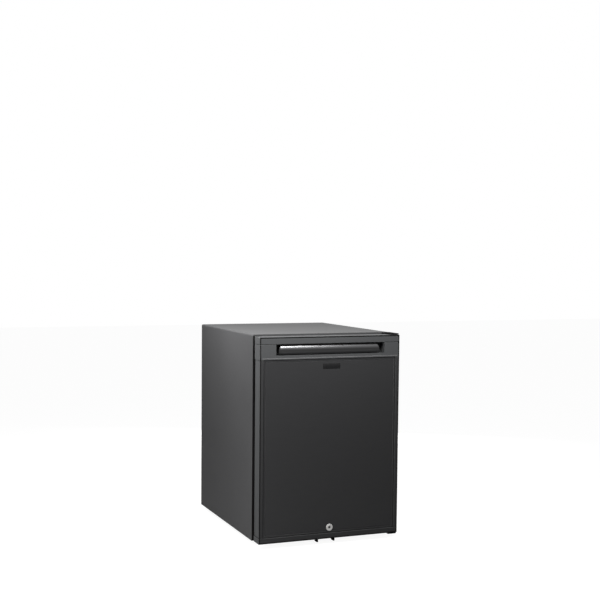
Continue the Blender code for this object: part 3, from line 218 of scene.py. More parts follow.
# Orange peel of about 1 mm, drawn at 3 mm so that it shows.
peel = add_node(tree, "TexNoise", {"Vector": place, "Scale": 1 / (3 * mm), "Detail": 2.0})
relief = add_node(
    tree, "Bump", {"Strength": 0.12, "Distance": 0.2 * mm, "Height": peel.outputs[0]}
)
drift = add_node(tree, "TexNoise", {"Vector": place, "Scale": 1 / (120 * mm), "Detail": 3.0})
shade = add_node(
    tree,
    "Mix",
    {0: drift.outputs[0], 6: linear("#3e3e3f"), 7: linear("#454546")},
    data_type="RGBA",
)
sheen = add_node(tree, "MapRange", {0: drift.outputs[0], 3: 0.42, 4: 0.52})
surface = add_node(
    tree,
    "BsdfPrincipled",
    {
        "Base Color": shade.outputs[2],
        "Roughness": sheen.outputs[0],
        "Normal": relief.outputs[0],
        "Specular IOR Level": 0.4,
    },
)
add_node(tree, "OutputMaterial", {"Surface": surface.outputs[0]})
dress("outer_wrap", powder_coat, 0.4 * mm)
dress("base_panel", powder_coat, 0.3 * mm)


# Rear panel: galvanised steel sheet that closes the foam, held by a row of small screws. The zinc
# froze in flat crystals, which show as a patchwork of slightly different greys.

galvanised, tree, place = new_finish("galvanised_steel")
# Zinc crystals about 9 mm across.
crystals = add_node(tree, "TexVoronoi", {"Vector": place, "Scale": 1 / (9 * mm)})
tone = add_node(tree, "SeparateColor", {0: crystals.outputs["Color"]})
shade = add_node(
    tree,
    "Mix",
    {0: tone.outputs[0], 6: linear("#9a9c9e"), 7: linear("#b4b6b8")},
    data_type="RGBA",
)
sheen = add_node(tree, "MapRange", {0: tone.outputs[1], 3: 0.34, 4: 0.55})
surface = add_node(
    tree,
    "BsdfPrincipled",
    {"Base Color": shade.outputs[2], "Metallic": 1.0, "Roughness": sheen.outputs[0]},
)
add_node(tree, "OutputMaterial", {"Surface": surface.outputs[0]})
dress("rear_panel", galvanised, 0.2 * mm)


def as_mesh(name, vertices, faces):
    """A mesh with smooth shading, except over edges sharper than 35 degrees."""
    mesh = bpy.data.meshes.new(name)
    mesh.from_pydata([tuple(vertex) for vertex in vertices], [], faces)
    shape = bmesh.new()
    shape.from_mesh(mesh)
    bmesh.ops.recalc_face_normals(shape, faces=shape.faces)
    shape.to_mesh(mesh)
    shape.free()
    mesh.shade_smooth()
    mesh.set_sharp_from_angle(angle=math.radians(35))
    return mesh


def loft(name, loops, ring=False):
    """Skins a row of loops with equally many points. The ends are closed, or joined in a ring."""
    count = len(loops[0])
    vertices = [point for loop in loops for point in loop]
    faces = []
    for row in range(len(loops) if ring else len(loops) - 1):
        this = row * count
        following = (row + 1) % len(loops) * count
        for step in range(count):
            other = (step + 1) % count
            faces.append((this + step, this + other, following + other, following + step))
    if not ring:
        faces.append(tuple(range(count)))
        faces.append(tuple(range(len(vertices) - count, len(vertices))))
    return as_mesh(name, vertices, faces)


def turned(name, profile, steps=48, closed=False):
    """A mesh turned round Z from (radius, height) points, closed at both ends or as a ring."""
    turns = [2 * math.pi * step / steps for step in range(steps)]
    loops = [
        [Vector((radius * math.cos(turn), radius * math.sin(turn), height)) for turn in turns]
        for radius, height in profile
    ]
    return loft(name, loops, closed)


def add_piece(name, mesh, material, body, replaced=(), place=None):
    """A new piece that rides on a CAD body and stands for the CAD nodes it replaces."""
    made = bpy.data.objects.new(name, mesh)
    bpy.context.scene.collection.objects.link(made)
    if not mesh.materials:
        mesh.materials.append(material)
    if place is not None:
        made.matrix_world = place
        bpy.context.view_layer.update()
    if replaced:
        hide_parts(*replaced)
    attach(made, body)


def carve(mesh, cutter):
    """Cuts one mesh out of another, and leaves the result without a material."""
    whole = bpy.data.objects.new("whole", mesh)
    tool = bpy.data.objects.new("tool", cutter)
    for part in (whole, tool):
        bpy.context.scene.collection.objects.link(part)
    cutting = whole.modifiers.new("cut", "BOOLEAN")
    cutting.object = tool
    cutting.solver = "EXACT"
    graph = bpy.context.evaluated_depsgraph_get()
    result = bpy.data.meshes.new_from_object(whole.evaluated_get(graph))
    for part in (whole, tool):
        bpy.data.objects.remove(part)
    result.materials.clear()
    result.shade_smooth()
    result.set_sharp_from_angle(angle=math.radians(35))
    return result


def block(name, low, high):
    """A plain cutting block between two corners."""
    loops = []
    for z in (low[2], high[2]):
        loops.append(
            [(low[0], low[1], z), (high[0], low[1], z), (high[0], high[1], z), (low[0], high[1], z)]
        )
    return loft(name, loops)


facing = {
    "+z": Matrix.Identity(4),
    "-z": Matrix.Rotation(math.pi, 4, "X"),
    "+y": Matrix.Rotation(-math.pi / 2, 4, "X"),
    "-y": Matrix.Rotation(math.pi / 2, 4, "X"),
    "+x": Matrix.Rotation(math.pi / 2, 4, "Y"),
}

zinc_plate, tree, place = new_finish("zinc_plated_steel")
# Passivated plating: faint clouds a few millimetres across.
clouds = add_node(tree, "TexNoise", {"Vector": place, "Scale": 1 / (4 * mm), "Detail": 4.0})
shade = add_node(
    tree,
    "Mix",
    {0: clouds.outputs[0], 6: linear("#a5a7a4"), 7: linear("#c3c5c4")},
    data_type="RGBA",
)
sheen = add_node(tree, "MapRange", {0: clouds.outputs[0], 3: 0.25, 4: 0.42})
surface = add_node(
    tree,
    "BsdfPrincipled",
    {"Base Color": shade.outputs[2], "Metallic": 1.0, "Roughness": sheen.outputs[0]},
)
add_node(tree, "OutputMaterial", {"Surface": surface.outputs[0]})

head = 3.6 * mm
screw_mesh = turned(
    "crosshead_screw",
    [
        (head, 0),
        (head, 0.5 * mm),
        (head * 0.94, 1.1 * mm),
        (head * 0.78, 1.7 * mm),
        (head * 0.5, 2.1 * mm),
        (head * 0.2, 2.25 * mm),
    ],
    32,
)
slot_half = 0.5 * mm
slot_reach = 2.0 * mm
for wide, deep in ((slot_half, slot_reach), (slot_reach, slot_half)):
    screw_mesh = carve(
        screw_mesh, block("cross", (-wide, -deep, 1.0 * mm), (wide, deep, 3 * mm))
    )
screw_mesh.name = "crosshead_screw"


def screw(name, place, way):
    """One screw head in the cabinet at that place, facing that way."""
    spot = Matrix.Translation(place) @ facing[way]
    add_piece(name, screw_mesh, zinc_plate, "cabinet", (), spot)


low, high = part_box("rear_panel")
inset = 9 * mm
for column in (low.x + inset, high.x - inset):
    for row, up in enumerate((low.z + 3 * inset, (low.z + high.z) / 2, high.z - inset)):
        side = "left" if column < 0 else "right"
        screw(f"rear_panel_screw_{side}_{row}", (column, high.y, up), "+y")
for side, column in (("left", low.x / 2), ("right", high.x / 2)):
    screw(f"rear_panel_screw_top_{side}", (column, high.y, high.z - inset), "+y")


# Insulation: polyurethane foam blown between wrap and liner, and between door panel and liner.
# It is closed in on all sides, and a straw yellow with fine bubbles where it can be seen.

foam, tree, place = new_finish("polyurethane_foam")
# Bubbles of 1.5 mm.
bubbles = add_node(tree, "TexVoronoi", {"Vector": place, "Scale": 1 / (1.5 * mm)})
relief = add_node(
    tree, "Bump", {"Strength": 0.5, "Distance": 0.5 * mm, "Height": bubbles.outputs["Distance"]}
)
shade = add_node(
    tree,
    "Mix",
    {0: bubbles.outputs["Distance"], 6: linear("#dccb93"), 7: linear("#c7b277")},
    data_type="RGBA",
)
surface = add_node(
    tree,
    "BsdfPrincipled",
    {"Base Color": shade.outputs[2], "Roughness": 0.9, "Normal": relief.outputs[0]},
)
add_node(tree, "OutputMaterial", {"Surface": surface.outputs[0]})
dress("insulation_foam", foam)
dress("door_foam", foam)


# Inner liner: the white tub of the cold space, vacuum formed from one sheet of polystyrene with
# the shelf runners pressed in. The sheet comes out glossy, with a very slight ripple.

polystyrene, tree, place = new_finish("vacuum_formed_polystyrene")
# The ripple of the stretched sheet is 25 mm long.
ripple = add_node(tree, "TexNoise", {"Vector": place, "Scale": 1 / (25 * mm), "Detail": 1.0})
relief = add_node(
    tree, "Bump", {"Strength": 0.25, "Distance": 0.4 * mm, "Height": ripple.outputs[0]}
)
shade = add_node(
    tree,
    "Mix",
    {0: ripple.outputs[0], 6: linear("#dedfdc"), 7: linear("#e6e7e4")},
    data_type="RGBA",
)
surface = add_node(
    tree,
    "BsdfPrincipled",
    {
        "Base Color": shade.outputs[2],
        "Roughness": 0.3,
        "Normal": relief.outputs[0],
        "Subsurface Weight": 0.04,
        "Subsurface Radius": (0.003, 0.003, 0.003),
        "IOR": 1.55,
    },
)
add_node(tree, "OutputMaterial", {"Surface": surface.outputs[0]})
dress("inner_liner", polystyrene, 0.8 * mm)


# Wire shelves: a 5 mm steel rod frame with 3 mm wires welded across, dipped in white polyethylene.
# The dip rounds every weld and shines a little. They slide on the liner's runners.


def clouded_finish(name, size, detail, tones, roughness, specular=0.5, lift=0.0, depth=0.0):
    """A finish whose clouds of that size mix two tones, and lift the surface where asked."""
    material, tree, place = new_finish(name)
    clouds = add_node(tree, "TexNoise", {"Vector": place, "Scale": 1 / size, "Detail": detail})
    shade = add_node(
        tree,
        "Mix",
        {0: clouds.outputs[0], 6: linear(tones[0]), 7: linear(tones[1])},
        data_type="RGBA",
    )
    surface = add_node(
        tree,
        "BsdfPrincipled",
        {"Base Color": shade.outputs[2], "Roughness": roughness, "Specular IOR Level": specular},
    )
    if lift:
        relief = add_node(
            tree, "Bump", {"Strength": lift, "Distance": depth, "Height": clouds.outputs[0]}
        )
        tree.links.new(relief.outputs[0], surface.inputs["Normal"])
    add_node(tree, "OutputMaterial", {"Surface": surface.outputs[0]})
    return material


# Sags of the dip, 8 mm long.
coated_wire = clouded_finish(
    "polyethylene_coated_wire",
    size=8 * mm,
    detail=1.0,
    tones=("#e2e3e2", "#ececea"),
    roughness=0.28,
    lift=0.3,
    depth=0.3 * mm,
)


def bent(route, radius, closed=False, steps=8):
    """The route with each corner turned into an arc."""
    points = [Vector(point) for point in route]
    path = []
    for index, corner in enumerate(points):
        if not closed and index in (0, len(points) - 1):
            path.append(corner)
            continue
        back = (points[index - 1] - corner).normalized()
        onward = (points[(index + 1) % len(points)] - corner).normalized()
        half = back.angle(onward) / 2
        centre = corner + (back + onward).normalized() * radius / math.sin(half)
        first = corner + back * radius / math.tan(half) - centre
        last = corner + onward * radius / math.tan(half) - centre
        sweep = first.rotation_difference(last)
        for step in range(steps + 1):
            path.append(centre + Matrix.Rotation(sweep.angle * step / steps, 3, sweep.axis) @ first)
    return path


def bars(name, paths, radius, material, body, replaced=(), closed=False):
    """Round bars or tubes along each of the paths, as one piece."""
    curve = bpy.data.curves.new(name, "CURVE")
    curve.dimensions = "3D"
    curve.bevel_depth = radius
    curve.bevel_resolution = 5
    curve.use_fill_caps = True
    for path in paths:
        spline = curve.splines.new("POLY")
        spline.points.add(len(path) - 1)
        for point, at in zip(spline.points, path):
            point.co = (*at, 1)
        spline.use_cyclic_u = closed
    add_piece(name, curve, material, body, replaced)


rod = 2.5 * mm
wire = 1.5 * mm
gap = 22 * mm
for node in ("shelf_lower", "shelf_upper"):
    low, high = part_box(node)
    z = low.z + rod
    side = high.x - rod
    front = low.y + rod
    back = high.y - rod
    corners = [(-side, front, z), (side, front, z), (side, back, z), (-side, back, z)]
    loop = bent(corners, 4 * rod, True)
    bars(node + "_frame", [loop], rod, coated_wire, "cabinet", (node,), True)
    count = int((2 * side - gap) / gap)
    first = -(count - 1) / 2 * gap
    over = z + 0.7 * mm
    under = z - 1.4 * mm
    upturn = high.z - wire
    middle = (front + back) / 2
    paths = []
    for index in range(count):
        x = first + index * gap
        paths.append(bent([(x, front, over), (x, back, over), (x, back, upturn)], 2 * wire))
    paths.append([(-side, middle, under), (side, middle, under)])
    paths.append([(-side + gap, back, upturn), (side - gap, back, upturn)])
    bars(node + "_wires", paths, wire, coated_wire, "cabinet")


# Evaporator: an aluminium extrusion with cooling fins, clamped on the cold pipes at the back of
# the cold space. The fins keep the fine lengthwise die lines of the extrusion.

aluminium, tree, place = new_finish("extruded_aluminium")
# Die lines 1 mm apart, stretched along the upright fins.
stretched = add_node(
    tree, "Mapping", {"Vector": place, "Scale": (1 / (1 * mm), 1 / (1 * mm), 1 / (60 * mm))}
)
lines = add_node(tree, "TexNoise", {"Vector": stretched.outputs[0], "Scale": 1.0, "Detail": 3.0})
relief = add_node(
    tree, "Bump", {"Strength": 0.3, "Distance": 0.1 * mm, "Height": lines.outputs[0]}
)
shade = add_node(
    tree,
    "Mix",
    {0: lines.outputs[0], 6: linear("#c4c6c8"), 7: linear("#dcdde0")},
    data_type="RGBA",
)
surface = add_node(
    tree,
    "BsdfPrincipled",
    {
        "Base Color": shade.outputs[2],
        "Metallic": 1.0,
        "Roughness": 0.36,
        "Normal": relief.outputs[0],
    },
)
add_node(tree, "OutputMaterial", {"Surface": surface.outputs[0]})
dress("evaporator_fins", aluminium, 0.25 * mm)


# Thermostat: an injection-moulded white ABS case on the liner's right wall, with a fluted dial
# on its front and the lamp's lens on its side. The case has the dull grain of spark-eroded tools.

# Spark-eroded grain of 0.3 mm, drawn at 1.2 mm so that it shows.
white_abs = clouded_finish(
    "moulded_white_abs",
    size=1.2 * mm,
    detail=2.0,
    tones=("#d2d3d0", "#dbdcd9"),
    roughness=0.45,
    lift=0.2,
    depth=0.1 * mm,
)
dress("control_box", white_abs, 0.6 * mm)

low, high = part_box("thermostat_dial")
centre = (low + high) / 2
radius = (high.x - low.x) / 2
case_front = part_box("control_box")[0].y
deep = case_front - low.y
flutes = 24
flute_depth = 0.5 * mm
steps = flutes * 6
loops = []
# Each loop: how far out it lies, its share of the radius, and whether the flutes reach it.
for out, share, fluted in (
    (0.0, 0.30, 0),
    (0.0, 0.985, 0),
    (0.25, 1.0, 1),
    (0.8, 0.93, 1),
    (0.94, 0.88, 1),
    (1.0, 0.80, 0),
    (0.93, 0.62, 0),
    (0.9, 0.30, 0),
):
    loop = []
    y = low.y + deep * (1 - out)
    for step in range(steps):
        turn = 2 * math.pi * step / steps
        wave = flute_depth * fluted * (1 + math.cos(turn * flutes)) / 2
        reach = radius * share - wave
        loop.append((centre.x + reach * math.cos(turn), y, centre.z + reach * math.sin(turn)))
    loops.append(loop)
add_piece(
    "fluted_dial",
    loft("fluted_dial", loops),
    white_abs,
    "thermostat_knob",
    ("thermostat_dial",),
)

# The ink lies unevenly over 2 mm.
grey_print = clouded_finish(
    "grey_pad_print", size=2 * mm, detail=2.0, tones=("#4a4c4e", "#5c5e60"), roughness=0.6
)


def slab(name, spans, round_by):
    """A small plate that faces -y with a rounded front edge. Its spans are (low, high) pairs."""
    (x0, x1), (y0, y1), (z0, z1) = spans
    thick = y1 - y0
    loops = []
    for out, shrink in (
        (0.0, 0.0),
        (1 - round_by / thick, 0.0),
        (1 - 0.3 * round_by / thick, 0.3),
        (1.0, 1.0),
    ):
        y = y1 - out * thick
        by = shrink * round_by
        left, right, foot, head = x0 + by, x1 - by, z0 + by, z1 - by
        loops.append([(left, y, foot), (right, y, foot), (right, y, head), (left, y, head)])
    return loft(name, loops)


# Seven ticks 45 degrees apart, from the dial's lower left over its top to its lower right.
tick_spans = ((-1.2 * mm, 1.2 * mm), (-0.3 * mm, 0), (-0.3 * mm, 0.3 * mm))
reach = radius + 1.8 * mm
for index in range(7):
    name = f"dial_tick_{index}"
    turn = math.radians(225 - index * 45)
    tick = Vector((reach * math.cos(turn), 0, reach * math.sin(turn)))
    spot = Matrix.Translation(Vector((centre.x, case_front, centre.z)) + tick)
    spot = spot @ Matrix.Rotation(-turn, 4, "Y")
    mesh = slab(name, tick_spans, 0.1 * mm)
    add_piece(name, mesh, grey_print, "cabinet", (), spot)
pointer_x = (centre.x - 0.7 * mm, centre.x + 0.7 * mm)
pointer_y = (low.y - 0.05 * mm, low.y + 1.6 * mm)
pointer_z = (centre.z + radius * 0.30, centre.z + radius * 0.80)
pointer = slab("dial_pointer", (pointer_x, pointer_y, pointer_z), 0.3 * mm)
add_piece("dial_pointer", pointer, grey_print, "thermostat_knob")

lens_plastic, tree, place = new_finish("frosted_polycarbonate")
# Prism ribs 3 mm apart along the lens.
ribs = add_node(
    tree,
    "TexWave",
    {"Vector": place, "Scale": 2 * math.pi / (20 * 3 * mm)},
    bands_direction="Y",
)
relief = add_node(
    tree, "Bump", {"Strength": 0.6, "Distance": 0.5 * mm, "Height": ribs.outputs["Fac"]}
)
shade = add_node(
    tree,
    "Mix",
    {0: ribs.outputs["Fac"], 6: linear("#dcdcd2"), 7: linear("#eeeee6")},
    data_type="RGBA",
)
surface = add_node(
    tree,
    "BsdfPrincipled",
    {
        "Base Color": shade.outputs[2],
        "Roughness": 0.35,
        "Transmission Weight": 0.35,
        "IOR": 1.58,
        "Normal": relief.outputs[0],
    },
)
add_node(tree, "OutputMaterial", {"Surface": surface.outputs[0]})
dress("lamp_cover", lens_plastic, 0.5 * mm)


# Feet: four moulded black rubber pads on studs under the base, with a grip ring round each. The
# rubber is dull and has a faint bloom.

# The bloom lies in patches of 6 mm.
rubber = clouded_finish(
    "moulded_black_rubber",
    size=6 * mm,
    detail=4.0,
    tones=("#171717", "#262626"),
    roughness=0.75,
    lift=0.25,
    depth=0.2 * mm,
)

for node in ("foot_front_left", "foot_front_right", "foot_rear_left", "foot_rear_right"):
    low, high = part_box(node)
    radius = (high.x - low.x) / 2
    tall = high.z - low.z
    profile = [
        (radius * 0.3, 0.6 * mm),
        (radius * 0.62, 0.4 * mm),
        (radius * 0.68, 0),
        (radius * 0.84, 0),
        (radius * 0.91, 0.5 * mm),
        (radius * 0.97, 2.4 * mm),
        (radius, 4.4 * mm),
        (radius * 0.95, 5.0 * mm),
        (radius * 0.95, 6.0 * mm),
        (radius, 6.6 * mm),
        (radius, tall - 1.6 * mm),
        (radius * 0.96, tall - 0.5 * mm),
        (radius * 0.88, tall),
        (radius * 0.3, tall),
    ]
    spot = Matrix.Translation(((low.x + high.x) / 2, (low.y + high.y) / 2, low.z))
    name = node.replace("foot", "pad")
    add_piece(name, turned(node, profile), rubber, "cabinet", (node,), spot)


# Hinges and strike: a steel angle above and below the door, screwed to the cabinet, each with a
# riveted zinc-plated pin that turns in a moulded bush in the door's cap. The angles and the lock's
# strike are sprayed matt black, which hardly mirrors anything.

# Overspray of 2 mm.
matt_black = clouded_finish(
    "matt_black_steel",
    size=2 * mm,
    detail=3.0,
    tones=("#0a0a0a", "#141414"),
    roughness=0.85,
    specular=0.05,
)
for node in ("hinge_bracket_top", "hinge_bracket_bottom", "lock_strike"):
    dress(node, matt_black, 0.4 * mm)
dress("hinge_pin_top", zinc_plate)
dress("hinge_pin_bottom", zinc_plate)

# Spark-eroded grain of 0.3 mm, drawn at 1.5 mm so that it shows.
black_nylon = clouded_finish(
    "moulded_black_nylon",
    size=1.5 * mm,
    detail=2.0,
    tones=("#1b1b1c", "#242425"),
    roughness=0.5,
    lift=0.2,
    depth=0.1 * mm,
)
dress("hinge_bush_top", black_nylon)
dress("hinge_bush_bottom", black_nylon)

low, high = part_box("hinge_bracket_bottom")
inset = 6 * mm
seat = high.y - 3 * mm
up = (low.z + high.z) / 2 + 8 * mm
for index, x in enumerate((low.x + inset, high.x - inset)):
    screw(f"hinge_screw_bottom_{index}", (x, seat, up), "-y")


# Door frame: extruded side profiles between two moulded end caps, and the band that carries the
# handle, all in dark grey ABS with a fine grain. Black beads paint the shadow lines round the
# front edge and round the panel, rubber joints sit over the bottom cap, and a pale strip paints a
# highlight along the band.


def grained_abs(name, shaded_front):
    """Dark grey ABS from a spark-eroded mould, with or without painted shade that darkens its faces
    turned to the front.
    """
    material, tree, place = new_finish(name)
    # Spark-eroded grain of 0.4 mm, drawn at 1.6 mm so that it shows.
    grain = add_node(tree, "TexNoise", {"Vector": place, "Scale": 1 / (1.6 * mm), "Detail": 3.0})
    relief = add_node(
        tree, "Bump", {"Strength": 0.25, "Distance": 0.15 * mm, "Height": grain.outputs[0]}
    )
    shade = add_node(
        tree,
        "Mix",
        {0: grain.outputs[0], 6: linear("#414243"), 7: linear("#494a4b")},
        data_type="RGBA",
    )
    if shaded_front:
        # Painted shade: faces whose normal points to the front take a darker tone.
        normal = add_node(tree, "TexCoord").outputs["Normal"]
        faces = add_node(tree, "SeparateXYZ", {0: normal})
        front_shade = add_node(
            tree, "MapRange", {0: faces.outputs["Y"], 1: -0.6, 2: -0.9, 3: 0.0, 4: 1.0}
        )
        shade = add_node(
            tree,
            "Mix",
            {0: front_shade.outputs[0], 6: shade.outputs[2], 7: linear("#303031")},
            data_type="RGBA",
        )
    surface = add_node(
        tree,
        "BsdfPrincipled",
        {
            "Base Color": shade.outputs[2],
            "Roughness": 0.62,
            "Normal": relief.outputs[0],
            "Specular IOR Level": 0.3,
        },
    )
    add_node(tree, "OutputMaterial", {"Surface": surface.outputs[0]})
    return material


grey_abs = grained_abs("moulded_grey_abs", False)
dress("door_top_cap", grey_abs, 0.6 * mm)
dress("handle_trim", grey_abs)
# Painted shade: faces turned to the front are mixed darker, so the frame's front meets the panel in
# one tone.
front_shaded_abs = grained_abs("grey_abs_with_painted_front_shade", True)
for node in ("door_bottom_cap", "side_profile_left", "side_profile_right"):
    dress(node, front_shaded_abs, 0.6 * mm)


def upright_loops(low, high, profile):
    """One upright rectangle for each (inset, y) point of a profile that is carried round it."""
    loops = []
    for inset, y in profile:
        x0, x1 = low.x + inset, high.x - inset
        z0, z1 = low.z + inset, high.z - inset
        loops.append([(x0, y, z0), (x1, y, z0), (x1, y, z1), (x0, y, z1)])
    return loops


low = Vector((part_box("door_top_cap")[0].x, 0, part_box("door_bottom_cap")[0].z))
high = Vector((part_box("door_top_cap")[1].x, 0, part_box("door_top_cap")[1].z))
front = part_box("door_top_cap")[0].y
bead = [
    (0.5 * mm, front + 0.4 * mm),
    (0.5 * mm, front - 0.05 * mm),
    (0.8 * mm, front - 0.15 * mm),
    (3.2 * mm, front - 0.15 * mm),
    (3.5 * mm, front - 0.05 * mm),
    (3.5 * mm, front + 0.4 * mm),
]
# Matt black for the beads and strips of painted shade and for the rubber joints, clouded in marks 3
# mm long.
black_joint_and_shade_strip = clouded_finish(
    "matt_black_joint_and_painted_shade",
    size=3 * mm,
    detail=2.0,
    tones=("#0a0a0a", "#121212"),
    roughness=0.8,
    specular=0.15,
)
# Painted shade: a matt black bead round the door's front edge stands for the shadow line there.
bead_mesh = loft("door_edge_shade_bead", upright_loops(low, high, bead), True)
add_piece("door_edge_shade_bead", bead_mesh, black_joint_and_shade_strip, "door")
low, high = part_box("door_panel")
bead = [
    (-0.5 * mm, low.y - 0.3 * mm),
    (1.1 * mm, low.y - 0.3 * mm),
    (1.1 * mm, low.y + 0.6 * mm),
    (-0.5 * mm, low.y + 0.6 * mm),
]
# Painted shade: a matt black bead round the panel stands for the shadow in the gap round it.
bead_mesh = loft("panel_shade_bead", upright_loops(low, high, bead), True)
add_piece("panel_shade_bead", bead_mesh, black_joint_and_shade_strip, "door")

# A rubber joint where each side profile stands on the bottom cap, and a strip behind each end of
# the band that holds the foam back.
foot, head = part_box("side_profile_right")
band_low, band_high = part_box("handle_trim")
border_low, border_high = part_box("door_liner")
foam_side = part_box("door_foam")[1].x
for name, sides, depths, heights, material, slot in (
    (
        "cap_joint",
        (head.x - 1 * mm, head.x + 0.5 * mm),
        (foot.y + 1 * mm, head.y),
        (foot.z, foot.z + 1.4 * mm),
        black_joint_and_shade_strip,
        "black_rubber",
    ),
    (
        "foam_stop",
        (border_high.x + 0.2 * mm, foam_side + 0.5 * mm),
        (border_low.y - 0.2 * mm, band_high.y - 0.3 * mm),
        (band_low.z - 0.3 * mm, band_high.z + 0.3 * mm),
        grey_abs,
        "door_plastic",
    ),
):
    for hand, side in (("left", -1), ("right", 1)):
        corners = [(side * x, z) for x in sides for z in heights]
        rounds = [[(corners[i][0], y, corners[i][1]) for i in (0, 2, 3, 1)] for y in depths]
        label = name + "_" + hand
        add_piece(label, loft(label, rounds), material, "door")

# A half-round strip along the band's lower edge, in a paler grey that paints a highlight line
# there.
# Its tone clouds over 20 mm along the extrusion.
highlight_abs = clouded_finish(
    "pale_grey_painted_highlight_strip",
    size=20 * mm,
    detail=2.0,
    tones=("#5c5c5d", "#6e6e6f"),
    roughness=0.5,
    specular=0.4,
)
inset = 6 * mm
middle = band_low.z + 3.4 * mm
half_tall = 1.1 * mm
proud = 0.7 * mm
highlight_strip = []
for end in (band_low.x + inset, band_high.x - inset):
    loop = []
    for step in range(7):
        turn = math.pi * step / 6
        y = band_low.y + 0.1 * mm - proud * math.sin(turn)
        loop.append((end, y, middle - half_tall * math.cos(turn)))
    highlight_strip.append(loop)
add_piece("band_highlight_strip", loft("band_highlight_strip", highlight_strip), highlight_abs, "door")


# Door panel: a pre-painted steel sheet let into the frame, with a pressed line just inside its
# edge. Its satin paint is smoother and darker than the cabinet's. The bare black plate below the
# handle is a glued-on strip of gloss ABS.

coil_coat, tree, place = new_finish("coil_coated_steel")
# Roller marks of 0.5 mm, drawn at 2 mm so that they show.
marks = add_node(
    tree, "Mapping", {"Vector": place, "Scale": (1 / (40 * mm), 1.0, 1 / (2 * mm))}
)
rolled = add_node(tree, "TexNoise", {"Vector": marks.outputs[0], "Scale": 1.0, "Detail": 3.0})
relief = add_node(
    tree, "Bump", {"Strength": 0.05, "Distance": 0.1 * mm, "Height": rolled.outputs[0]}
)
shade = add_node(
    tree,
    "Mix",
    {0: rolled.outputs[0], 6: linear("#2f2f30"), 7: linear("#333334")},
    data_type="RGBA",
)
surface = add_node(
    tree,
    "BsdfPrincipled",
    {
        "Base Color": shade.outputs[2],
        "Roughness": 0.38,
        "Normal": relief.outputs[0],
        "Specular IOR Level": 0.35,
    },
)
add_node(tree, "OutputMaterial", {"Surface": surface.outputs[0]})

low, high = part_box("door_panel")
pressing = [
    (0, high.y),
    (0, low.y + 0.3 * mm),
    (0.3 * mm, low.y),
    (4.2 * mm, low.y),
    (4.8 * mm, low.y + 0.7 * mm),
    (5.8 * mm, low.y + 0.7 * mm),
    (6.4 * mm, low.y),
    (9 * mm, low.y),
]
pressed = loft("pressed_panel", upright_loops(low, high, pressing))
lock_low, lock_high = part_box("lock_barrel")
lock_spot = Vector((0, lock_low.y, (lock_low.z + lock_high.z) / 2))
lock_place = Matrix.Translation(lock_spot) @ facing["-y"]
hole_radius = 8.8 * mm
hole = turned("lock_hole", [(hole_radius, -6 * mm), (hole_radius, 6 * mm)])
hole.transform(lock_place)
pressed = carve(pressed, hole)
add_piece("pressed_panel", pressed, coil_coat, "door", ("door_panel",))

gloss_abs, tree, place = new_finish("gloss_black_abs")
# Polishing haze in clouds of 10 mm.
haze = add_node(tree, "TexNoise", {"Vector": place, "Scale": 1 / (10 * mm), "Detail": 3.0})
shade = add_node(
    tree,
    "Mix",
    {0: haze.outputs[0], 6: linear("#151516"), 7: linear("#1d1d1e")},
    data_type="RGBA",
)
sheen = add_node(tree, "MapRange", {0: haze.outputs[0], 3: 0.2, 4: 0.3})
surface = add_node(
    tree, "BsdfPrincipled", {"Base Color": shade.outputs[2], "Roughness": sheen.outputs[0]}
)
add_node(tree, "OutputMaterial", {"Surface": surface.outputs[0]})
plate_x = (-22.5 * mm, 26.5 * mm)
plate_y = (low.y - 1.1 * mm, low.y + 0.1 * mm)
plate_z = (470.5 * mm, 484 * mm)
plate = slab("bare_plate", (plate_x, plate_y, plate_z), 0.5 * mm)
add_piece("bare_plate", plate, gloss_abs, "door")


# Handle: a convex bar of dark satin-chromed steel across the finger recess, on two posts. Its ends
# are cut back above and below, and lightly chamfered. It mirrors a light above as one soft streak.

satin, tree, place = new_finish("dark_satin_chrome")
# Brushing 0.4 mm apart and 90 mm long, drawn at 0.8 mm.
brushed = add_node(
    tree, "Mapping", {"Vector": place, "Scale": (1 / (90 * mm), 1 / (0.8 * mm), 1 / (0.8 * mm))}
)
strokes = add_node(tree, "TexNoise", {"Vector": brushed.outputs[0], "Scale": 1.0, "Detail": 3.0})
relief = add_node(
    tree, "Bump", {"Strength": 0.06, "Distance": 0.05 * mm, "Height": strokes.outputs[0]}
)
shade = add_node(
    tree,
    "Mix",
    {0: strokes.outputs[0], 6: linear("#6c6c6d"), 7: linear("#79797a")},
    data_type="RGBA",
)
surface = add_node(
    tree,
    "BsdfPrincipled",
    {
        "Base Color": shade.outputs[2],
        "Metallic": 1.0,
        "Roughness": 0.32,
        "Normal": relief.outputs[0],
    },
)
add_node(tree, "OutputMaterial", {"Surface": surface.outputs[0]})

low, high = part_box("handle_bar")
# The bar's top edge stands 2 mm higher than the CAD bar's, and its lower edge where that has it.
half_rise = 1 * mm
half = (high.z - low.z) / 2 + half_rise
middle = (high.z + low.z) / 2 + half_rise
bulge = 5 * mm
rear = low.y + bulge + 5 * mm
shoulder = low.y + bulge + 0.9 * mm
edge = 1.2 * mm
section = []
arch = (half**2 + bulge**2) / (2 * bulge)
sweep = math.asin((half - 0.4 * mm) / arch)
for step in range(17):
    turn = -sweep + 2 * sweep * step / 16
    section.append((low.y + arch * (1 - math.cos(turn)), arch * math.sin(turn)))
section += [
    (shoulder, half),
    (rear - edge, half),
    (rear, half - edge),
    (rear, edge - half),
    (rear - edge, -half),
    (shoulder, -half),
]
left_end = low.x - 2.5 * mm
right_end = high.x - 2 * mm
cut = 8 * mm
loops = []
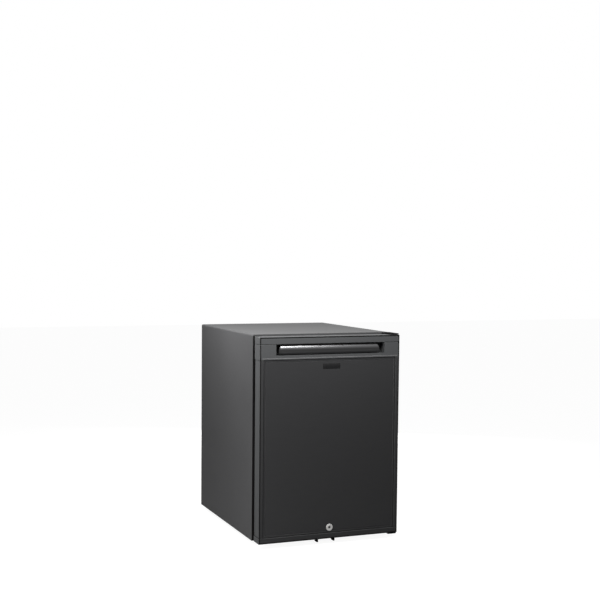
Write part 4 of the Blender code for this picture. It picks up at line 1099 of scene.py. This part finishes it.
# Each loop: its end of the bar, the way inward, how many millimetres in, and its scale.
for end, inward, keep, shrink in (
    (left_end, 1, 0.0, 0.8),
    (left_end, 1, 1.0, 1.0),
    (left_end, 1, 10.0, 1.0),
    (right_end, -1, 10.0, 1.0),
    (right_end, -1, 1.0, 1.0),
    (right_end, -1, 0.0, 0.8),
):
    loop = []
    for y, up in section:
        cut_back = cut * max(up, -0.2 * up) / half if keep < 10 else 0
        x = end + inward * (keep * mm + cut_back)
        loop.append((x, rear + (y - rear) * shrink, middle + up * shrink))
    loops.append(loop)
add_piece(
    "grip_bar", loft("grip_bar", loops), satin, "door", ("handle_bar",)
)
reach = high.y - rear
sunk = 0.7 * mm
post_x = high.x - 35.5 * mm
for name, x in (("grip_post_left", -post_x), ("grip_post_right", post_x)):
    post = turned(
        name,
        [(4 * mm, 0), (4 * mm, reach * 0.6), (5 * mm, reach * 0.8), (5.5 * mm, reach + sunk)],
    )
    spot = Matrix.Translation((x, rear - sunk, middle)) @ facing["+y"]
    add_piece(name, post, satin, "door", (), spot)


# Door liner and racks: the door's white inner face is vacuum formed like the tub, with upright
# dykes that hold three moulded bottle racks.

dress("door_liner", polystyrene, 0.8 * mm)
for node in ("rack_bottom", "rack_middle", "rack_top"):
    dress(node, white_abs, 0.5 * mm)


# Gasket: an extruded PVC bellows with a magnet strip in its head, welded at mitred corners and
# pressed into the door liner. It is matt black and seals on the cabinet's rim, which carries
# painted shade down both sides.

# Draw marks of the extrusion, clouded over 5 mm.
pvc = clouded_finish(
    "extruded_black_pvc",
    size=5 * mm,
    detail=3.0,
    tones=("#0c0c0d", "#151516"),
    roughness=0.7,
    specular=0.25,
    lift=0.15,
    depth=0.2 * mm,
)

low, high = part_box("door_seal")
deep = high.y - low.y
profile = []
# Each point of the bellows: its inset in millimetres, and its share of the way to the cabinet.
for inset, share in (
    (1.0, 0.0),
    (13.0, 0.0),
    (13.4, 0.05),
    (13.4, 0.2),
    (10.6, 0.26),
    (9.4, 0.36),
    (10.8, 0.46),
    (12.8, 0.56),
    (13.8, 0.62),
    (14.0, 0.68),
    (14.0, 0.93),
    (13.4, 1.0),
    (0.6, 1.0),
    (0.0, 0.93),
    (0.0, 0.68),
    (0.2, 0.62),
    (1.2, 0.56),
    (3.2, 0.46),
    (4.6, 0.36),
    (3.4, 0.26),
    (0.6, 0.2),
    (0.6, 0.05),
):
    profile.append((inset * mm, low.y + share * deep))
gasket = loft("bellows_gasket", upright_loops(low, high, profile), True)
add_piece("bellows_gasket", gasket, pvc, "door", ("door_seal",))
# Painted shade: black strips down both sides of the cabinet's rim darken the gap between door and
# cabinet.
low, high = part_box("outer_wrap")
outer = 0.3 * mm
inner = 26 * mm
gap_shade_y = (low.y - 0.2 * mm, low.y + 0.1 * mm)
gap_shade_z = (13 * mm, 556 * mm)
for name, gap_shade_x in (
    ("rim_painted_shade_left", (low.x + outer, low.x + inner)),
    ("rim_painted_shade_right", (high.x - inner, high.x - outer)),
):
    gap_shade = slab(name, (gap_shade_x, gap_shade_y, gap_shade_z), 0.1 * mm)
    add_piece(name, gap_shade, black_joint_and_shade_strip, "cabinet")


# Lock: a die-cast zinc cam lock, nickel plated. The ring sits on the panel, and the plug with its
# keyway turns inside it and carries the steel cam behind the door.

nickel, tree, place = new_finish("nickel_plated_zinc")
# Buffing marks clouded over 2 mm.
buffed = add_node(tree, "TexNoise", {"Vector": place, "Scale": 1 / (2 * mm), "Detail": 4.0})
shade = add_node(
    tree,
    "Mix",
    {0: buffed.outputs[0], 6: linear("#dbdad8"), 7: linear("#e8e7e5")},
    data_type="RGBA",
)
sheen = add_node(tree, "MapRange", {0: buffed.outputs[0], 3: 0.4, 4: 0.52})
surface = add_node(
    tree,
    "BsdfPrincipled",
    {"Base Color": shade.outputs[2], "Metallic": 0.3, "Roughness": sheen.outputs[0]},
)
add_node(tree, "OutputMaterial", {"Surface": surface.outputs[0]})

long = lock_high.y - lock_low.y
barrel = [
    (5.2 * mm, 0.2 * mm),
    (5.2 * mm, -long),
    (11 * mm, -long),
    (11 * mm, -long + 2.4 * mm),
    (8.5 * mm, -long + 2.4 * mm),
    (8.5 * mm, -1.7 * mm),
    (9.3 * mm, -1.7 * mm),
    (9.4 * mm, -1.2 * mm),
    (9.3 * mm, -0.4 * mm),
    (8.9 * mm, 0),
    (8.1 * mm, 0),
    (7.6 * mm, -0.35 * mm),
    (6.9 * mm, -0.35 * mm),
    (6.3 * mm, 0),
    (5.6 * mm, 0.1 * mm),
]
ring = turned("lock_ring", barrel, 64, True)
add_piece("lock_ring", ring, nickel, "door", ("lock_barrel",), lock_place)
low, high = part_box("lock_plug")
long = high.y - low.y
core = turned(
    "lock_core_plug",
    [
        (1.2 * mm, -long),
        (4.8 * mm, -long),
        (4.8 * mm, -0.3 * mm),
        (4.4 * mm, 0),
        (3.4 * mm, 0),
        (3.0 * mm, -0.6 * mm),
        (1.0 * mm, -0.6 * mm),
    ],
)
core = carve(
    core, block("keyway", (-0.8 * mm, -3.1 * mm, -12 * mm), (0.8 * mm, 3.1 * mm, 2 * mm))
)
plug_spot = Matrix.Translation((0, low.y, lock_spot.z)) @ facing["-y"]
add_piece("keyed_plug", core, nickel, "lock_core", ("lock_plug",), plug_spot)
# A black dust cap lies in the plug's hollow, slit for the key.
dust_cap = turned("key_dust_cap", [(3.1 * mm, -0.65 * mm), (3.1 * mm, -0.25 * mm)])
dust_cap = carve(
    dust_cap, block("cap_slit", (-0.5 * mm, -2.6 * mm, -2 * mm), (0.5 * mm, 2.6 * mm, 2 * mm))
)
add_piece(
    "key_dust_cap", dust_cap, black_nylon, "lock_core", (), plug_spot
)
dress("lock_cam", zinc_plate, 0.3 * mm)


# Cooling unit: welded steel tube, enamelled black, behind the cabinet. The boiler stands in a
# galvanised jacket, the finned condenser crosses above, and the coil climbs from the drum.

black_enamel, tree, place = new_finish("black_enamelled_steel")
# The brushed-on coat runs over 15 mm, with a finer grain of 2 mm in it.
coat = add_node(tree, "TexNoise", {"Vector": place, "Scale": 1 / (15 * mm), "Detail": 5.0})
relief = add_node(
    tree, "Bump", {"Strength": 0.2, "Distance": 0.2 * mm, "Height": coat.outputs[0]}
)
shade = add_node(
    tree,
    "Mix",
    {0: coat.outputs[0], 6: linear("#161617"), 7: linear("#242425")},
    data_type="RGBA",
)
sheen = add_node(tree, "MapRange", {0: coat.outputs[0], 3: 0.34, 4: 0.5})
surface = add_node(
    tree,
    "BsdfPrincipled",
    {"Base Color": shade.outputs[2], "Roughness": sheen.outputs[0], "Normal": relief.outputs[0]},
)
add_node(tree, "OutputMaterial", {"Surface": surface.outputs[0]})

fit = 0.3 * mm
tube = 7 * mm
small_tube = 5 * mm
bend = 20 * mm
boiler_low, boiler_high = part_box("boiler_casing")
boiler = (boiler_low + boiler_high) / 2
drum_low, drum_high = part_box("absorber_vessel")
drum = (drum_low + drum_high) / 2
strap_thick = 2 * mm
strap_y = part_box("unit_strap_lower")[1].y - strap_thick
coil_y = strap_y - fit - tube
coil_low, coil_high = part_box("absorber_coil")
gas_low, gas_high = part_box("gas_pipe")
gas_x = (gas_low.x + gas_high.x) / 2
pipe_z = gas_high.z - tube
coil_foot = 142 * mm
coil_head = coil_high.z - 24 * mm
turns = 3
pitch = (coil_head - coil_foot) / (2 * turns - 1)
start_x = drum_low.x + (drum_high.x - drum_low.x) * 0.6
left_x = coil_low.x + tube
climb = [
    (start_x, drum.y, drum_high.z + fit),
    (start_x, drum.y, coil_foot - bend),
    (start_x, coil_y, coil_foot),
]
for loop in range(turns):
    z = coil_foot + 2 * loop * pitch
    climb += [(left_x, coil_y, z), (left_x, coil_y, z + pitch), (gas_x, coil_y, z + pitch)]
    if loop < turns - 1:
        climb.append((gas_x, coil_y, z + 2 * pitch))
climb.append((gas_x, coil_y, coil_high.z))
gas = [
    (gas_x, gas_low.y, pipe_z),
    (gas_x, coil_y, pipe_z),
    (gas_x, coil_y, coil_high.z + fit),
]
fins_low, fins_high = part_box("condenser")
rise_low, rise_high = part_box("rectifier_pipe")
rise = rise_high.z - tube
vapour = [
    (boiler.x, boiler.y, rise_low.z),
    (boiler.x, boiler.y, rise),
    (rise_low.x, boiler.y, rise),
]
liquid_low, liquid_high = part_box("liquid_pipe")
liquid_z = liquid_high.z - small_tube
liquid_x = liquid_low.x + small_tube
liquid = [
    (fins_low.x + 0.2 * mm, boiler.y, liquid_z),
    (liquid_x, boiler.y, liquid_z),
    (liquid_x, boiler.y, pipe_z),
    (-gas_x, boiler.y, pipe_z),
    (-gas_x, liquid_low.y, pipe_z),
]
solution = [
    (drum_high.x + fit, drum.y, drum.z),
    (boiler.x, drum.y, drum.z),
    (boiler.x, drum.y, boiler_low.z - fit),
]
small_bend = 3 * small_tube
for name, node, route, corner, radius in (
    ("climbing_coil", "absorber_coil", climb, pitch * 0.45, tube),
    ("gas_return", "gas_pipe", gas, bend, tube),
    ("rectifier_tube", "rectifier_pipe", vapour, bend, tube),
    ("liquid_tube", "liquid_pipe", liquid, small_bend, small_tube),
    ("solution_tube", "solution_pipe", solution, small_bend, small_tube),
):
    path = bent(route, corner, False, 12)
    bars(name, [path], radius, black_enamel, "cabinet", (node,))
dress("condenser", black_enamel)
dress("absorber_vessel", black_enamel)
dress("boiler_casing", galvanised, 0.4 * mm)
dress("unit_strap_lower", galvanised, 0.3 * mm)
dress("unit_strap_upper", galvanised, 0.3 * mm)

for name, spot, way, radius in (
    ("weld_drum_coil", (start_x, drum.y, drum_high.z - 0.6 * mm), "+z", tube),
    ("weld_coil_gas", (gas_x, coil_y, coil_high.z - 1.5 * mm), "+z", tube),
    ("weld_boiler_top", (boiler.x, boiler.y, boiler_high.z), "+z", tube),
    ("weld_condenser", (fins_high.x - 0.5 * mm, boiler.y, rise), "+x", tube),
    ("weld_drum_end", (drum_high.x - 1.0 * mm, drum.y, drum.z), "+x", small_tube),
    ("weld_boiler_low", (boiler.x, drum.y, boiler_low.z), "-z", small_tube),
):
    bead = [
        (radius - 0.6 * mm, -0.4 * mm),
        (radius + 1.9 * mm, -0.4 * mm),
        (radius + 1.8 * mm, 0.7 * mm),
        (radius + 1.1 * mm, 1.8 * mm),
        (radius + 0.1 * mm, 2.6 * mm),
        (radius - 0.6 * mm, 2.6 * mm),
    ]
    ring = turned(name, bead, 32, True)
    ring_place = Matrix.Translation(spot) @ facing[way]
    add_piece(name, ring, black_enamel, "cabinet", (), ring_place)

washer = turned(
    "washer", [(6.2 * mm, 0), (6.2 * mm, 0.7 * mm), (5.6 * mm, 0.9 * mm), (1.0 * mm, 0.9 * mm)]
)
hexagon = turned(
    "hexagon",
    [(4.6 * mm, 0.8 * mm), (4.6 * mm, 3.4 * mm), (4.1 * mm, 3.9 * mm), (1.0 * mm, 3.9 * mm)],
    6,
)
left_hole = 18 * mm
right_hole = 14 * mm
for node in ("unit_strap_lower", "unit_strap_upper"):
    low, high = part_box(node)
    for side, x in (("left", low.x + left_hole), ("right", high.x - right_hole)):
        spot = Matrix.Translation((x, high.y, (low.z + high.z) / 2)) @ facing["+y"]
        add_piece(f"{node}_washer_{side}", washer, zinc_plate, "cabinet", (), spot)
        add_piece(f"{node}_bolt_{side}", hexagon, zinc_plate, "cabinet", (), spot)


# Electrical box: a moulded black nylon case, screwed shut at its four corners, with the mains
# inlet clipped into its back.

dress("electrical_box", black_nylon, 0.5 * mm)
dress("power_inlet", black_nylon, 0.3 * mm)
low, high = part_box("electrical_box")
columns = (low.x + 6 * mm, high.x - 6 * mm)
rows = (low.z + 7 * mm, high.z - 7 * mm)
for index, (x, z) in enumerate((x, z) for z in rows for x in columns):
    screw(f"box_screw_{index}", (x, high.y, z), "+y")
